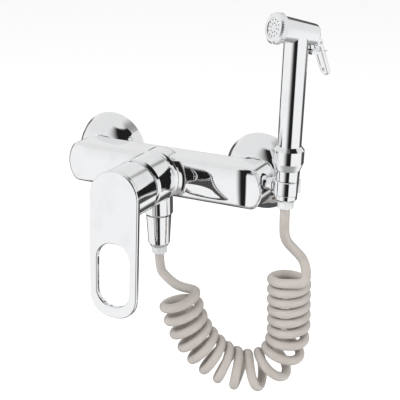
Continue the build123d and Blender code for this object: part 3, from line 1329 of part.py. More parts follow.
def route_at(distance):
    """Point of the coil's centre line at a distance along it."""
    step = 1
    while step < ROUTE_STEPS and route_length[step] < distance:
        step += 1
    share = (distance - route_length[step - 1]) / (route_length[step] - route_length[step - 1])
    return route_line[step - 1] * (1 - share) + route_line[step] * share


def route_aim(distance):
    """Direction of the coil's centre line at a distance along it."""
    ahead = min(distance + HOSE_RADIUS, route_length[-1])
    behind = max(distance - HOSE_RADIUS, 0.0)
    return (route_at(ahead) - route_at(behind)).normalized()


def route_bend(distance):
    """How sharply the coil's centre line bends at a distance along it, in radians per mm."""
    ahead = min(distance + 2 * HOSE_RADIUS, route_length[-1] - HOSE_RADIUS)
    behind = max(distance - 2 * HOSE_RADIUS, HOSE_RADIUS)
    return (route_aim(ahead) - route_aim(behind)).length / (ahead - behind)


def pitch_at(distance):
    """Advance per curl: loose at first, and never so tight that curls meet inside the bend."""
    share = (distance - TIGHTENING_START) / (TIGHTENING_END - TIGHTENING_START)
    share = min(max(share, 0.0), 1.0)
    closest = 2 * HOSE_RADIUS + CURL_GAP
    eased = LOOSE_PITCH + (closest - LOOSE_PITCH) * share
    return max(eased, closest / (1 - CURL_RADIUS * route_bend(distance)))


curl_stations = [0.0]
for quarter in range(4 * CURL_COUNT - 2):
    curl_stations.append(curl_stations[-1] + pitch_at(curl_stations[-1]) / 4)
curl_points = quarter_turns(
    route_at,
    route_aim,
    curl_stations,
    CURL_RADIUS,
    plane_side,
    math.pi / 2,
    1,
)
print(f"coil centre line {route_length[-1]:.1f} mm, curls use {curl_stations[-1]:.1f} mm")

first_point, first_aim = curl_points[0]
last_point, last_aim = curl_points[-1]
lower_end = Vector(0, -OUTLET_DEPTH, -LOWER_SLEEVE_FOOT)
upper_end = SPRAY_ORIGIN + SPRAY_UP * UPPER_SLEEVE_FOOT
lower_run = [lower_end, lower_end - Vector(0, 0, LOWER_END_RUN)]
lower_run += [Vector(*point) for point in LOWER_TAIL]
lower_run += [first_point - first_aim * LOWER_JOIN_RUN, first_point]
upper_run = [last_point, last_point + last_aim * UPPER_JOIN_RUN]
upper_run += [Vector(*point) for point in UPPER_TAIL]
upper_run += [upper_end - SPRAY_UP * UPPER_END_RUN, upper_end]


def bend_radii(run):
    """Radius for each corner of a tail, as large as its two runs allow."""
    radii = []
    for before, corner, after in zip(run, run[1:], run[2:]):
        shorter = min((corner - before).length, (after - corner).length)
        turn = math.radians((corner - before).get_angle(after - corner))
        radii.append(0.45 * shorter / math.tan(turn / 2))
    return radii


for name, run in (("lower", lower_run), ("upper", upper_run)):
    print(name, "tail radii", [round(radius, 1) for radius in bend_radii(run)])

with BuildPart() as spiral_hose:
    with BuildLine() as hose_path:
        FilletPolyline(*lower_run, radius=bend_radii(lower_run))
        for (start, start_aim), (end, end_aim) in zip(curl_points, curl_points[1:]):
            biarc(start, start_aim, end, end_aim)
        FilletPolyline(*upper_run, radius=bend_radii(upper_run))
    with BuildSketch(Plane(origin=lower_end, z_dir=(0, 0, -1))):
        Circle(HOSE_RADIUS)
    sweep(path=hose_path.wire())
finish(spiral_hose, "spiral_hose")

# Least gap of the hose to itself, from points along its centre line
hose_wire = hose_path.wire()
SAMPLES = 2400
samples = [hose_wire @ (index / SAMPLES) for index in range(SAMPLES + 1)]
spacing = hose_wire.length / SAMPLES
skip = int(3.5 * HOSE_RADIUS / spacing)
least = min(
    (samples[one] - samples[two]).length
    for one in range(0, SAMPLES + 1)
    for two in range(one + skip, min(one + int(6 * math.pi * CURL_RADIUS / spacing), SAMPLES + 1))
)
section = math.pi * HOSE_RADIUS**2
print(f"hose length {hose_wire.length:.0f} mm, least gap to itself {least - 2 * HOSE_RADIUS:.2f} mm")
print(f"hose volume {spiral_hose.part.volume:.0f}, section times length {section * hose_wire.length:.0f}")
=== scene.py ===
"""Dresses the wall mixer, its hand spray and its spiral hose, and lights them.

Lengths are metres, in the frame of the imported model: +X to the right, +Z up,
the wall at Y = 0 and the room towards -Y.
"""

from __future__ import annotations

import json
import logging
import math
from bisect import bisect_left
from collections.abc import Sequence
from dataclasses import dataclass, replace
from enum import Enum
from typing import Any

import bpy
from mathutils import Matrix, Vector

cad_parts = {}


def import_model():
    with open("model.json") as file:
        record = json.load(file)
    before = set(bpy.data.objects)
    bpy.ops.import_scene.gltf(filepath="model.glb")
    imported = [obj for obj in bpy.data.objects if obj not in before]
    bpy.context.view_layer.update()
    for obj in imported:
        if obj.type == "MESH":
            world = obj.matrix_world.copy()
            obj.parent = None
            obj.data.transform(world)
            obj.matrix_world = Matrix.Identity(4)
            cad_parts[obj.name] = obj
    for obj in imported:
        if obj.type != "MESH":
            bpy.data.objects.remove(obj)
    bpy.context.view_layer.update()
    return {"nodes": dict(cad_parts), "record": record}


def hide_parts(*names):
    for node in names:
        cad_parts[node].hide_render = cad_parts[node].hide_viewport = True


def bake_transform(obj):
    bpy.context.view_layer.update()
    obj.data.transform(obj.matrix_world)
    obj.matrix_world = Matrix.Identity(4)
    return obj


log = logging.getLogger("wall_mixer")

MM = 0.001
SMOOTH_ANGLE = math.radians(40)
WHITE = (1.0, 1.0, 1.0, 1.0)

Triple = tuple[float, float, float]
Span = tuple[float, float]


class Part(Enum):
    """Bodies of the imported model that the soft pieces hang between."""

    FRAME = "frame"
    SPRAYER = "sprayer"
    VALVE = "valve"


class Slot(Enum):
    """Material slots of the record."""

    CHROME = "chrome"
    BRASS = "brass"
    STEEL = "steel"
    RUBBER = "rubber"
    INNER_PLASTIC = "inner_plastic"
    CERAMIC = "ceramic"
    HOSE = "hose"
    SLEEVE = "sleeve"


@dataclass(frozen=True)
class Grain:
    """One layer of soft noise.

    Attributes:
        scale: Spots per metre.
        detail: Number of finer layers.
        cut: Noise values that become 0 and 1, or None to leave the noise alone.
        stretch: Scale of the piece's own axes before the noise is read.
    """

    scale: float
    detail: float
    cut: Span | None = None
    stretch: Triple = (1.0, 1.0, 1.0)


@dataclass(frozen=True)
class Relief:
    """A fine relief that bends the normals.

    Attributes:
        grain: Noise that gives its height.
        depth: What a height of 1 stands for, in metres.
        strength: Share of the effect.
    """

    grain: Grain
    depth: float
    strength: float


class Wire:
    """A number inside a shader, usable in Python sums and products."""

    def __init__(self, sheet: ShaderSheet, socket: bpy.types.NodeSocket) -> None:
        """Wrap an output socket of a sheet."""
        self.sheet = sheet
        self.socket = socket

    def _math(self, operation: str, *values: Wire | float) -> Wire:
        """Add a Math node.

        Args:
            operation: Blender's name for the operation.
            *values: Its one or two numbers, in order.

        Returns:
            The result as a wire.
        """
        inputs = dict(enumerate(values))
        node = self.sheet.node("ShaderNodeMath", {"operation": operation}, inputs)
        return Wire(self.sheet, node.outputs[0])

    def __add__(self, other: Wire | float) -> Wire:
        """Sum of two values."""
        return self._math("ADD", self, other)

    __radd__ = __add__

    def __sub__(self, other: Wire | float) -> Wire:
        """Difference of two values."""
        return self._math("SUBTRACT", self, other)

    def __rsub__(self, other: Wire | float) -> Wire:
        """Difference with the wire taken away."""
        return self._math("SUBTRACT", other, self)

    def __mul__(self, other: Wire | float) -> Wire:
        """Product of two values."""
        return self._math("MULTIPLY", self, other)

    __rmul__ = __mul__

    def __truediv__(self, other: Wire | float) -> Wire:
        """Quotient of two values."""
        return self._math("DIVIDE", self, other)

    def over(self, other: Wire | float) -> Wire:
        """The larger of two values."""
        return self._math("MAXIMUM", self, other)

    def under(self, other: Wire | float) -> Wire:
        """The smaller of two values."""
        return self._math("MINIMUM", self, other)

    def root(self) -> Wire:
        """The square root."""
        return self._math("SQRT", self)

    def angle_with(self, other: Wire) -> Wire:
        """Angle that has this wire as sine and the other as cosine, in radians."""
        return self._math("ARCTAN2", self, other)

    def step(self, low: float, high: float) -> Wire:
        """Rise smoothly from 0 at low to 1 at high.

        Args:
            low: Value where the rise starts.
            high: Value where the rise ends.

        Returns:
            A wire between 0 and 1.
        """
        node = self.sheet.node(
            "ShaderNodeMapRange",
            {"interpolation_type": "SMOOTHSTEP"},
            {0: self, 1: low, 2: high, 3: 0.0, 4: 1.0},
        )
        return Wire(self.sheet, node.outputs[0])


class ShaderSheet:
    """A node tree being filled, for a material or for the world."""

    def __init__(self, tree: bpy.types.NodeTree) -> None:
        """Start on an empty tree.

        Args:
            tree: Tree to clear and fill.
        """
        self.tree = tree
        self.places: dict[Triple, bpy.types.NodeSocket] = {}
        self.noises: dict[Grain, Wire] = {}
        tree.nodes.clear()

    def node(
        self,
        kind: str,
        settings: dict[str, Any] | None = None,
        inputs: dict[int | str, Any] | None = None,
    ) -> bpy.types.Node:
        """Add a node, set it up, and then fill or link its sockets.

        Args:
            kind: Blender's name for the type of node.
            settings: Properties to set on the node before its sockets.
            inputs: Values, sockets or wires by socket number or name.

        Returns:
            The new node.
        """
        node = self.tree.nodes.new(kind)
        for name, value in (settings or {}).items():
            setattr(node, name, value)
        for place, value in (inputs or {}).items():
            if isinstance(value, Wire):
                value = value.socket
            if isinstance(value, bpy.types.NodeSocket):
                self.tree.links.new(value, node.inputs[place])
            else:
                node.inputs[place].default_value = value
        return node

    def ramp(
        self, factor: Wire, stops: Sequence[tuple[float, Triple]]
    ) -> bpy.types.NodeSocket:
        """Colour a factor through a ramp of stops.

        Args:
            factor: Wire that picks a place on the ramp.
            stops: Places from 0 to 1, each with its colour.

        Returns:
            The ramp's colour socket.
        """
        node = self.node("ShaderNodeValToRGB", None, {0: factor})
        elements = node.color_ramp.elements
        for element, (place, colour) in zip(elements, (stops[0], stops[-1])):
            element.position, element.color = place, (*colour, 1.0)
        for place, colour in stops[1:-1]:
            elements.new(place).color = (*colour, 1.0)
        return node.outputs[0]

    def place(self, stretch: Triple = (1.0, 1.0, 1.0)) -> bpy.types.NodeSocket:
        """Coordinates of the piece, in its own frame.

        Args:
            stretch: Scale of the three axes.

        Returns:
            The coordinates' socket, the same one for the same stretch.
        """
        if stretch not in self.places:
            own = self.node("ShaderNodeTexCoord").outputs["Object"]
            inputs = {"Vector": own, "Scale": stretch}
            mapping = self.node("ShaderNodeMapping", None, inputs)
            self.places[stretch] = mapping.outputs[0]
        return self.places[stretch]

    def noise(self, grain: Grain) -> Wire:
        """Lay one layer of noise.

        Args:
            grain: What the noise is like.

        Returns:
            The noise between 0 and 1, the same wire for the same grain.
        """
        if grain not in self.noises:
            where = self.place(grain.stretch)
            inputs = {"Vector": where, "Scale": grain.scale, "Detail": grain.detail}
            node = self.node("ShaderNodeTexNoise", None, inputs)
            laid = Wire(self, node.outputs[0])
            self.noises[grain] = laid.step(*grain.cut) if grain.cut else laid
        return self.noises[grain]

    def axes(self, where: bpy.types.NodeSocket) -> list[Wire]:
        """Take coordinates apart.

        Args:
            where: Socket of the coordinates.

        Returns:
            Their x, y and z.
        """
        parts = self.node("ShaderNodeSeparateXYZ", None, {0: where})
        return [Wire(self, output) for output in parts.outputs]

    def bump(
        self,
        height: Wire,
        depth: float,
        strength: Wire | float = 1.0,
        below: bpy.types.NodeSocket | None = None,
    ) -> bpy.types.NodeSocket:
        """Bend a normal by a height.

        Args:
            height: Height, between 0 and 1 or in metres.
            depth: What a height of 1 stands for, in metres.
            strength: Share of the effect.
            below: Normal that this one bends further.

        Returns:
            The bent normal.
        """
        inputs = {"Strength": strength, "Distance": depth, "Height": height}
        if below is not None:
            inputs["Normal"] = below
        return self.node("ShaderNodeBump", None, inputs).outputs[0]

    def surface(self, inputs: dict[str, Any]) -> None:
        """Finish a material with one shader.

        Args:
            inputs: Values, sockets or wires by the name of the shader's input.
        """
        shader = self.node("ShaderNodeBsdfPrincipled", None, inputs)
        self.node("ShaderNodeOutputMaterial", None, {"Surface": shader.outputs[0]})


@dataclass(frozen=True)
class Finish:
    """A finish of two tints, mixed by marks that also roughen it.

    Attributes:
        name: Name of the material.
        tint: Colour without marks.
        marked_tint: Colour under the strongest marks.
        marking: Noise that lays the marks.
        places: Strengths of the marks that have the two tints.
        roughness: Roughness without marks.
        marks_roughness: What the strongest marks add to it.
        metallic: 1 for a metal and 0 for anything else.
        relief: Fine relief, or None for a smooth skin.
    """

    name: str
    tint: Triple
    marked_tint: Triple
    marking: Grain
    places: Span = (0.0, 1.0)
    roughness: float = 0.4
    marks_roughness: float = 0.1
    metallic: float = 0.0
    relief: Relief | None = None

    def marks(self, sheet: ShaderSheet) -> Wire:
        """Lay the marks, with a strength between 0 and 1."""
        return sheet.noise(self.marking)

    def colour(self, sheet: ShaderSheet, marks: Wire) -> Any:
        """Colour the marks, as a socket or as one value."""
        tints = (self.tint, self.marked_tint)
        return sheet.ramp(marks, tuple(zip(self.places, tints)))

    def dullness(self, sheet: ShaderSheet, marks: Wire) -> Wire:
        """Roughen the finish by its marks."""
        return marks * self.marks_roughness + self.roughness

    def extras(self, marks: Wire) -> dict[str, Any]:
        """Give further inputs of the shader."""
        return {}

    def shape(self, sheet: ShaderSheet) -> bpy.types.NodeSocket | None:
        """Give the normal of a broad shape under the relief, if there is one."""
        return None

    def material(self) -> bpy.types.Material:
        """Make the material, or find it if it has been made.

        Returns:
            The material.
        """
        found = bpy.data.materials.get(self.name)
        if found is not None:
            return found
        made = bpy.data.materials.new(self.name)
        made.use_nodes = True
        sheet = ShaderSheet(made.node_tree)
        marks = self.marks(sheet)
        inputs = {
            "Base Color": self.colour(sheet, marks),
            "Metallic": self.metallic,
            "Roughness": self.dullness(sheet, marks),
            **self.extras(marks),
        }
        if self.relief is not None:
            height = sheet.noise(self.relief.grain)
            inputs["Normal"] = sheet.bump(
                height, self.relief.depth, self.relief.strength, self.shape(sheet)
            )
        sheet.surface(inputs)
        return made


@dataclass(frozen=True)
class PolishedChrome(Finish):
    """Bright chrome over polished brass, with faint water marks and a soft cast skin.

    Attributes:
        specks: Noise of the small dried drops among the marks.
        shares: Weight of the clouded marks and of the specks.
    """

    name: str = "polished_chrome"
    tint: Triple = (0.90, 0.905, 0.915)
    marked_tint: Triple = (0.83, 0.835, 0.85)
    marking: Grain = Grain(55.0, 4.0, (0.50, 0.78))
    roughness: float = 0.035
    marks_roughness: float = 0.05
    metallic: float = 1.0
    relief: Relief = Relief(Grain(38.0, 1.0), 0.012 * MM, 0.5)
    specks: Grain = Grain(620.0, 2.0, (0.62, 0.80))
    shares: Span = (0.7, 0.3)

    def marks(self, sheet: ShaderSheet) -> Wire:
        """Lay the clouded marks and the specks."""
        cloud = sheet.noise(self.marking) * self.shares[0]
        return (cloud + sheet.noise(self.specks) * self.shares[1]).under(1.0)


@dataclass(frozen=True)
class CrownedBarChrome(PolishedChrome):
    """Chrome of the mixer's casting, whose bar is polished to a soft crown in front.

    Attributes:
        front: How far the bar's front stands before the wall.
        middle_height: Height of the bar's middle.
        half_height: Half of the bar's height.
        crown: How far the crown falls away towards the bar's upper and lower edge.
        bend_starts: Where the front starts to turn away on the left and the right.
        bend_radius: Radius of that turn.
        bend_reach: How far along the bar the turn goes on.
        housing_radius: Radius of the cartridge's housing.
        flare: How far the flare at the housing's root reaches.
        flare_slope: Slope of the flare where the two surfaces meet.
        edge_fade: Depths behind the front where the crown fades out.
        before_fade: Depths where it fades out before the front.
        housing_fade: Distances outside the housing where it sets in.
        root_depths: Depths where the housing's side of the flare fades out.
        root_outside: Distances outside the housing where that side fades out.
        root_inside: Distances, negative inside the housing, where it sets in.
    """

    name: str = "polished_chrome_bar"
    front: float = 54.0 * MM
    middle_height: float = 0.8 * MM
    half_height: float = 17.6 * MM
    crown: float = 3.2 * MM
    bend_starts: Span = (-65.9 * MM, 75.4 * MM)
    bend_radius: float = 15.3 * MM
    bend_reach: float = 10.7 * MM
    housing_radius: float = 22.3 * MM
    flare: float = 8.0 * MM
    flare_slope: float = 1.3
    edge_fade: Span = (0.25 * MM, 2.5 * MM)
    before_fade: Span = (-1.0 * MM, -0.5 * MM)
    housing_fade: Span = (0.1 * MM, 0.6 * MM)
    root_depths: Span = (-0.4 * MM, -0.1 * MM)
    root_outside: Span = (0.3 * MM, 0.6 * MM)
    root_inside: Span = (-0.6 * MM, -0.3 * MM)

    def flared(self, distance: Wire) -> Wire:
        """Raise the flare of one surface towards the corner.

        Args:
            distance: Distance past the corner, negative on the surface itself.

        Returns:
            The height that the flare adds.
        """
        steepness = self.flare_slope / (2 * self.flare)
        near = (distance + self.flare).over(0.0)
        return near * near * steepness

    def shape(self, sheet: ShaderSheet) -> bpy.types.NodeSocket:
        """Bend the normals of the bar's front and of the housing's root.

        The front gets a crown that also turns away towards the bar's ends, and a
        flare joins it to the housing.

        Args:
            sheet: Sheet to draw on.

        Returns:
            The bent normal.
        """
        x, y, z = sheet.axes(sheet.place())
        rise = (z - self.middle_height) / self.half_height
        height = rise * rise * -self.crown
        for beyond in (x * -1 + self.bend_starts[0], x - self.bend_starts[1]):
            bent = beyond.over(0.0).under(self.bend_reach)
            straight = (beyond - self.bend_reach).over(0.0)
            height = height - bent * bent / (2 * self.bend_radius)
            height = height - straight * (self.bend_reach / self.bend_radius)
        out = (x * x + z * z).root() - self.housing_radius
        inwards = y + self.front
        height = height + self.flared(out * -1)
        on_front = 1 - inwards.step(*self.edge_fade)
        on_front = on_front * inwards.step(*self.before_fade)
        on_front = on_front * out.step(*self.housing_fade)
        on_root = 1 - inwards.step(*self.root_depths)
        on_root = on_root * (1 - out.step(*self.root_outside))
        on_root = on_root * out.step(*self.root_inside)
        crowned = sheet.bump(height, 1.0, on_front)
        return sheet.bump(self.flared(inwards), 1.0, on_root, crowned)


@dataclass(frozen=True)
class JetPlateChrome(PolishedChrome):
    """Chrome of the spray plate, with its jets' bores in deep shadow.

    Attributes:
        shadow_tint: Colour down the bores.
        shadow_places: Strengths of the marks for the marked tint and the shadow.
        middle: Point on the plate's axis that its depths are measured from.
        aim: Direction of the plate's axis, out of the head.
        front: Distance from that point to the plate's front.
        bore_lip: Depth of the bright lip of each bore.
        jets_reach: Radius of the circle that holds the jets.
        jets_fade: Share of that radius where the shadow starts to fade.
    """

    name: str = "polished_chrome_jets"
    shadow_tint: Triple = (0.03, 0.03, 0.032)
    shadow_places: Span = (0.5, 0.95)
    middle: Triple = (122.14 * MM, -45.0 * MM, 131.9 * MM)
    aim: Triple = (-0.5162, -0.8245, 0.2318)
    front: float = 22.4 * MM
    bore_lip: float = 0.12 * MM
    jets_reach: float = 7.3 * MM
    jets_fade: float = 0.97

    def darkness(self, sheet: ShaderSheet) -> Wire:
        """Find what lies behind the plate's front and within the circles of jets.

        Args:
            sheet: Sheet to draw on.

        Returns:
            The darkness, between 0 and 1.
        """
        axes = sheet.axes(sheet.place())
        right, back, up = (axis - start for axis, start in zip(axes, self.middle))
        along = right * self.aim[0] + back * self.aim[1] + up * self.aim[2]
        square = right * right + back * back + up * up
        rim = ((self.jets_fade * self.jets_reach) ** 2, self.jets_reach**2)
        within = 1 - (square - along * along).step(*rim)
        lip = (self.front - 2 * self.bore_lip, self.front - self.bore_lip)
        return (1 - along.step(*lip)) * within

    def marks(self, sheet: ShaderSheet) -> Wire:
        """Lay the marks, squeezed to make room for the shadow above them."""
        dark = self.darkness(sheet)
        return super().marks(sheet) * (1 - dark) * self.shadow_places[0] + dark

    def colour(self, sheet: ShaderSheet, marks: Wire) -> bpy.types.NodeSocket:
        """Colour the marks and the shadow above them."""
        tints = (self.tint, self.marked_tint, self.shadow_tint)
        return sheet.ramp(marks, tuple(zip((0.0, *self.shadow_places), tints)))


@dataclass(frozen=True)
class PlainMetal(Finish):
    """Metal of one colour, whose marks only roughen it."""

    def colour(self, sheet: ShaderSheet, marks: Wire) -> tuple[float, ...]:
        """Give the one colour."""
        return (*self.tint, 1.0)


@dataclass(frozen=True)
class MilkyPlastic(Finish):
    """Plastic that lets a little light in, under a clear skin.

    Attributes:
        inner_weight: Share of the light that goes in.
        inner_reach: How far red, green and blue light spread, before the scale.
        inner_scale: Scale of that reach.
        coat: Weight of the clear skin.
    """

    inner_weight: float = 0.35
    inner_reach: Triple = (0.006, 0.006, 0.006)
    inner_scale: float = 0.5
    coat: float = 0.25

    def extras(self, marks: Wire) -> dict[str, Any]:
        """Let the light in and lay the clear skin.

        Args:
            marks: Strength of the marks.

        Returns:
            Inputs of the shader by name.
        """
        return {
            "Subsurface Weight": self.inner_weight,
            "Subsurface Radius": self.inner_reach,
            "Subsurface Scale": self.inner_scale,
            "Coat Weight": self.coat,
        }


@dataclass(frozen=True)
class HosePlastic(MilkyPlastic):
    """Warm light grey hose skin, satin, with fine pores and a little soiling.

    Attributes:
        pores_roughness: What the pores add to the roughness.
        marks_coat: What the strongest marks add to the clear skin's weight.
        coat_roughness: Roughness of the clear skin.
    """

    name: str = "hose_plastic"
    tint: Triple = (0.42, 0.386, 0.358)
    marked_tint: Triple = (0.35, 0.315, 0.285)
    marking: Grain = Grain(34.0, 4.0, (0.45, 0.85))
    roughness: float = 0.34
    marks_roughness: float = 0.08
    relief: Relief = Relief(Grain(900.0, 2.0), 0.012 * MM, 0.5)
    inner_weight: float = 0.08
    inner_reach: Triple = (0.004, 0.003, 0.0025)
    coat: float = 0.3
    pores_roughness: float = 0.10
    marks_coat: float = -0.15
    coat_roughness: float = 0.25

    def dullness(self, sheet: ShaderSheet, marks: Wire) -> Wire:
        """Roughen the finish by its pores and its marks."""
        pores = sheet.noise(self.relief.grain) * self.pores_roughness
        return pores + marks * self.marks_roughness + self.roughness

    def extras(self, marks: Wire) -> dict[str, Any]:
        """Let the light in and lay the clear skin, thinner under the marks.

        Args:
            marks: Strength of the marks.

        Returns:
            Inputs of the shader by name.
        """
        return {
            **super().extras(marks),
            "Coat Weight": marks * self.marks_coat + self.coat,
            "Coat Roughness": self.coat_roughness,
        }


MACHINED_BRASS = Finish(
    name="machined_brass",
    tint=(0.74, 0.58, 0.28),
    marked_tint=(0.55, 0.42, 0.22),
    marking=Grain(90.0, 4.0, (0.4, 0.7)),
    roughness=0.26,
    marks_roughness=0.15,
    metallic=1.0,
    relief=Relief(Grain(80.0, 1.0, stretch=(0.1, 60.0, 0.1)), 0.02 * MM, 0.6),
)
STEEL_GRAIN = Grain(120.0, 2.0, stretch=(1.0, 40.0, 1.0))
CARTRIDGE_PLASTIC = Finish(
    name="cartridge_plastic",
    tint=(0.62, 0.62, 0.60),
    marked_tint=(0.5332, 0.5332, 0.516),
    marking=Grain(60.0, 3.0),
    places=(0.3, 0.8),
    roughness=0.42,
    marks_roughness=0.12,
    relief=Relief(Grain(1500.0, 2.0), 0.01 * MM, 0.4),
)
FINISHES: dict[Slot, Finish] = {
    Slot.CHROME: PolishedChrome(),
    Slot.BRASS: MACHINED_BRASS,
    Slot.STEEL: PlainMetal(
        name="brushed_steel",
        tint=(0.60, 0.60, 0.61),
        marked_tint=(0.60, 0.60, 0.61),
        marking=STEEL_GRAIN,
        roughness=0.22,
        marks_roughness=0.12,
        metallic=1.0,
        relief=Relief(STEEL_GRAIN, 0.015 * MM, 0.5),
    ),
    Slot.RUBBER: Finish(
        name="seal_rubber",
        tint=(0.018, 0.018, 0.02),
        marked_tint=(0.05, 0.05, 0.052),
        marking=Grain(140.0, 4.0),
        places=(0.35, 0.75),
        roughness=0.6,
        marks_roughness=0.2,
        relief=Relief(Grain(1800.0, 2.0), 0.03 * MM, 0.5),
    ),
    Slot.INNER_PLASTIC: CARTRIDGE_PLASTIC,
    Slot.CERAMIC: replace(
        CARTRIDGE_PLASTIC,
        name="ceramic_disc",
        tint=(0.88, 0.88, 0.85),
        marked_tint=(0.7568, 0.7568, 0.731),
        roughness=0.12,
    ),
    Slot.HOSE: HosePlastic(),
    Slot.SLEEVE: MilkyPlastic(
        name="sleeve_nylon",
        tint=(0.61, 0.62, 0.62),
        marked_tint=(0.51, 0.525, 0.525),
        marking=Grain(160.0, 3.0),
        places=(0.35, 0.8),
        roughness=0.2,
    ),
}
OWN_FINISHES: dict[str, Finish] = {
    "mixer_body": CrownedBarChrome(),
    "spray_face": JetPlateChrome(),
    # The stem's brass is made almost black all over.
    "valve_stem": replace(
        MACHINED_BRASS,
        name="dark_brass",
        tint=(0.10, 0.085, 0.06),
        marked_tint=(0.05, 0.045, 0.035),
    ),
}


class Bench:
    """Work that every new piece goes through."""

    @staticmethod
    def add(name: str, data: bpy.types.ID) -> bpy.types.Object:
        """Put a new object into the scene.

        Args:
            name: Name of the object.
            data: Its mesh, curve, light or camera.

        Returns:
            The new object.
        """
        made = bpy.data.objects.new(name, data)
        bpy.context.scene.collection.objects.link(made)
        return made

    @staticmethod
    def clear_selection() -> None:
        """Leave edit mode and deselect every object."""
        if bpy.context.object is not None and bpy.context.object.mode != "OBJECT":
            bpy.ops.object.mode_set(mode="OBJECT")
        bpy.ops.object.select_all(action="DESELECT")

    @classmethod
    def start(cls, name: str, mesh: bpy.types.Mesh) -> bpy.types.Object:
        """Make a piece of a mesh and select it alone.

        Args:
            name: Name of the piece and of its mesh.
            mesh: Mesh that it takes over.

        Returns:
            The new piece.
        """
        mesh.name = name
        piece = cls.add(name, mesh)
        cls.clear_selection()
        bpy.context.view_layer.objects.active = piece
        piece.select_set(True)
        return piece

    @staticmethod
    def finish(piece: bpy.types.Object, slot: Slot, node: str) -> None:
        """Smooth a piece and give it its finish, in place of a CAD node.

        Args:
            piece: Piece that is selected alone.
            slot: Material slot that its finish belongs to.
            node: CAD node that it stands for.
        """
        bpy.ops.object.shade_smooth_by_angle(angle=SMOOTH_ANGLE)
        piece.data.materials.clear()
        piece.data.materials.append(FINISHES[slot].material())
        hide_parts(node)
        faces = len(piece.data.polygons)
        log.info("%s stands for %s and has %d faces", piece.name, node, faces)


@dataclass(frozen=True)
class Spline:
    """An open, smooth spline through the pull of its points.

    Attributes:
        name: Name of the curve.
        points: Control points in order.
        steps: Steps between two points.
        order: Blender's order of the spline, one more than its degree.
    """

    name: str
    points: tuple[Vector, ...]
    steps: int
    order: int = 3

    def mesh(self, radius: float = 0.0, rounding: int = 0) -> bpy.types.Mesh:
        """Draw the spline and turn it into a mesh.

        Args:
            radius: Radius of the tube round it, or 0 for a bare line.
            rounding: How finely the tube is rounded.

        Returns:
            The mesh of the tube, or of the line.
        """
        curve = bpy.data.curves.new(self.name, "CURVE")
        curve.dimensions = "3D"
        curve.resolution_u = self.steps
        curve.bevel_depth = radius
        curve.bevel_resolution = rounding
        curve.use_fill_caps = radius > 0
        spline = curve.splines.new("NURBS")
        spline.points.add(len(self.points) - 1)
        for place, point in zip(spline.points, self.points):
            place.co = (*point, 1.0)
        spline.order_u = self.order
        spline.use_endpoint_u = True
        drawn = Bench.add(self.name, curve)
        bpy.context.view_layer.update()
        mesh = bpy.data.meshes.new_from_object(
            drawn.evaluated_get(bpy.context.evaluated_depsgraph_get())
        )
        bpy.data.objects.remove(drawn)
        return mesh


class MeasuredLine:
    """A line of points, read by the distance along it."""

    def __init__(self, spline: Spline) -> None:
        """Measure a spline.

        Args:
            spline: Spline that gives the points.
        """
        mesh = spline.mesh()
        self.points = [vertex.co.copy() for vertex in mesh.vertices]
        bpy.data.meshes.remove(mesh)
        self.distances = [0.0]
        for before, after in zip(self.points, self.points[1:]):
            self.distances.append(self.distances[-1] + (after - before).length)
        self.length = self.distances[-1]

    def at(self, distance: float) -> Vector:
        """Find a point of the line.

        Args:
            distance: Distance along the line.

        Returns:
            The point.
        """
        step = bisect_left(self.distances, distance, 1, len(self.points) - 1)
        start, end = self.distances[step - 1], self.distances[step]
        share = (distance - start) / (end - start)
        return self.points[step - 1].lerp(self.points[step], share)

    def aim(self, distance: float, reach: float) -> Vector:
        """Direction of the line.

        Args:
            distance: Distance along the line.
            reach: How far ahead and behind the direction is read.

        Returns:
            A vector of length 1.
        """
        ahead = min(distance + reach, self.length)
        behind = max(distance - reach, 0.0)
        return (self.at(ahead) - self.at(behind)).normalized()

    def bend(self, distance: float, reach: float) -> float:
        """Sharpness of the line's bend.

        Args:
            distance: Distance along the line.
            reach: How far ahead and behind each direction is read.

        Returns:
            One over the bend's radius.
        """
        ahead = min(distance + 2 * reach, self.length - reach)
        behind = max(distance - 2 * reach, reach)
        turned = self.aim(ahead, reach) - self.aim(behind, reach)
        return turned.length / (ahead - behind)


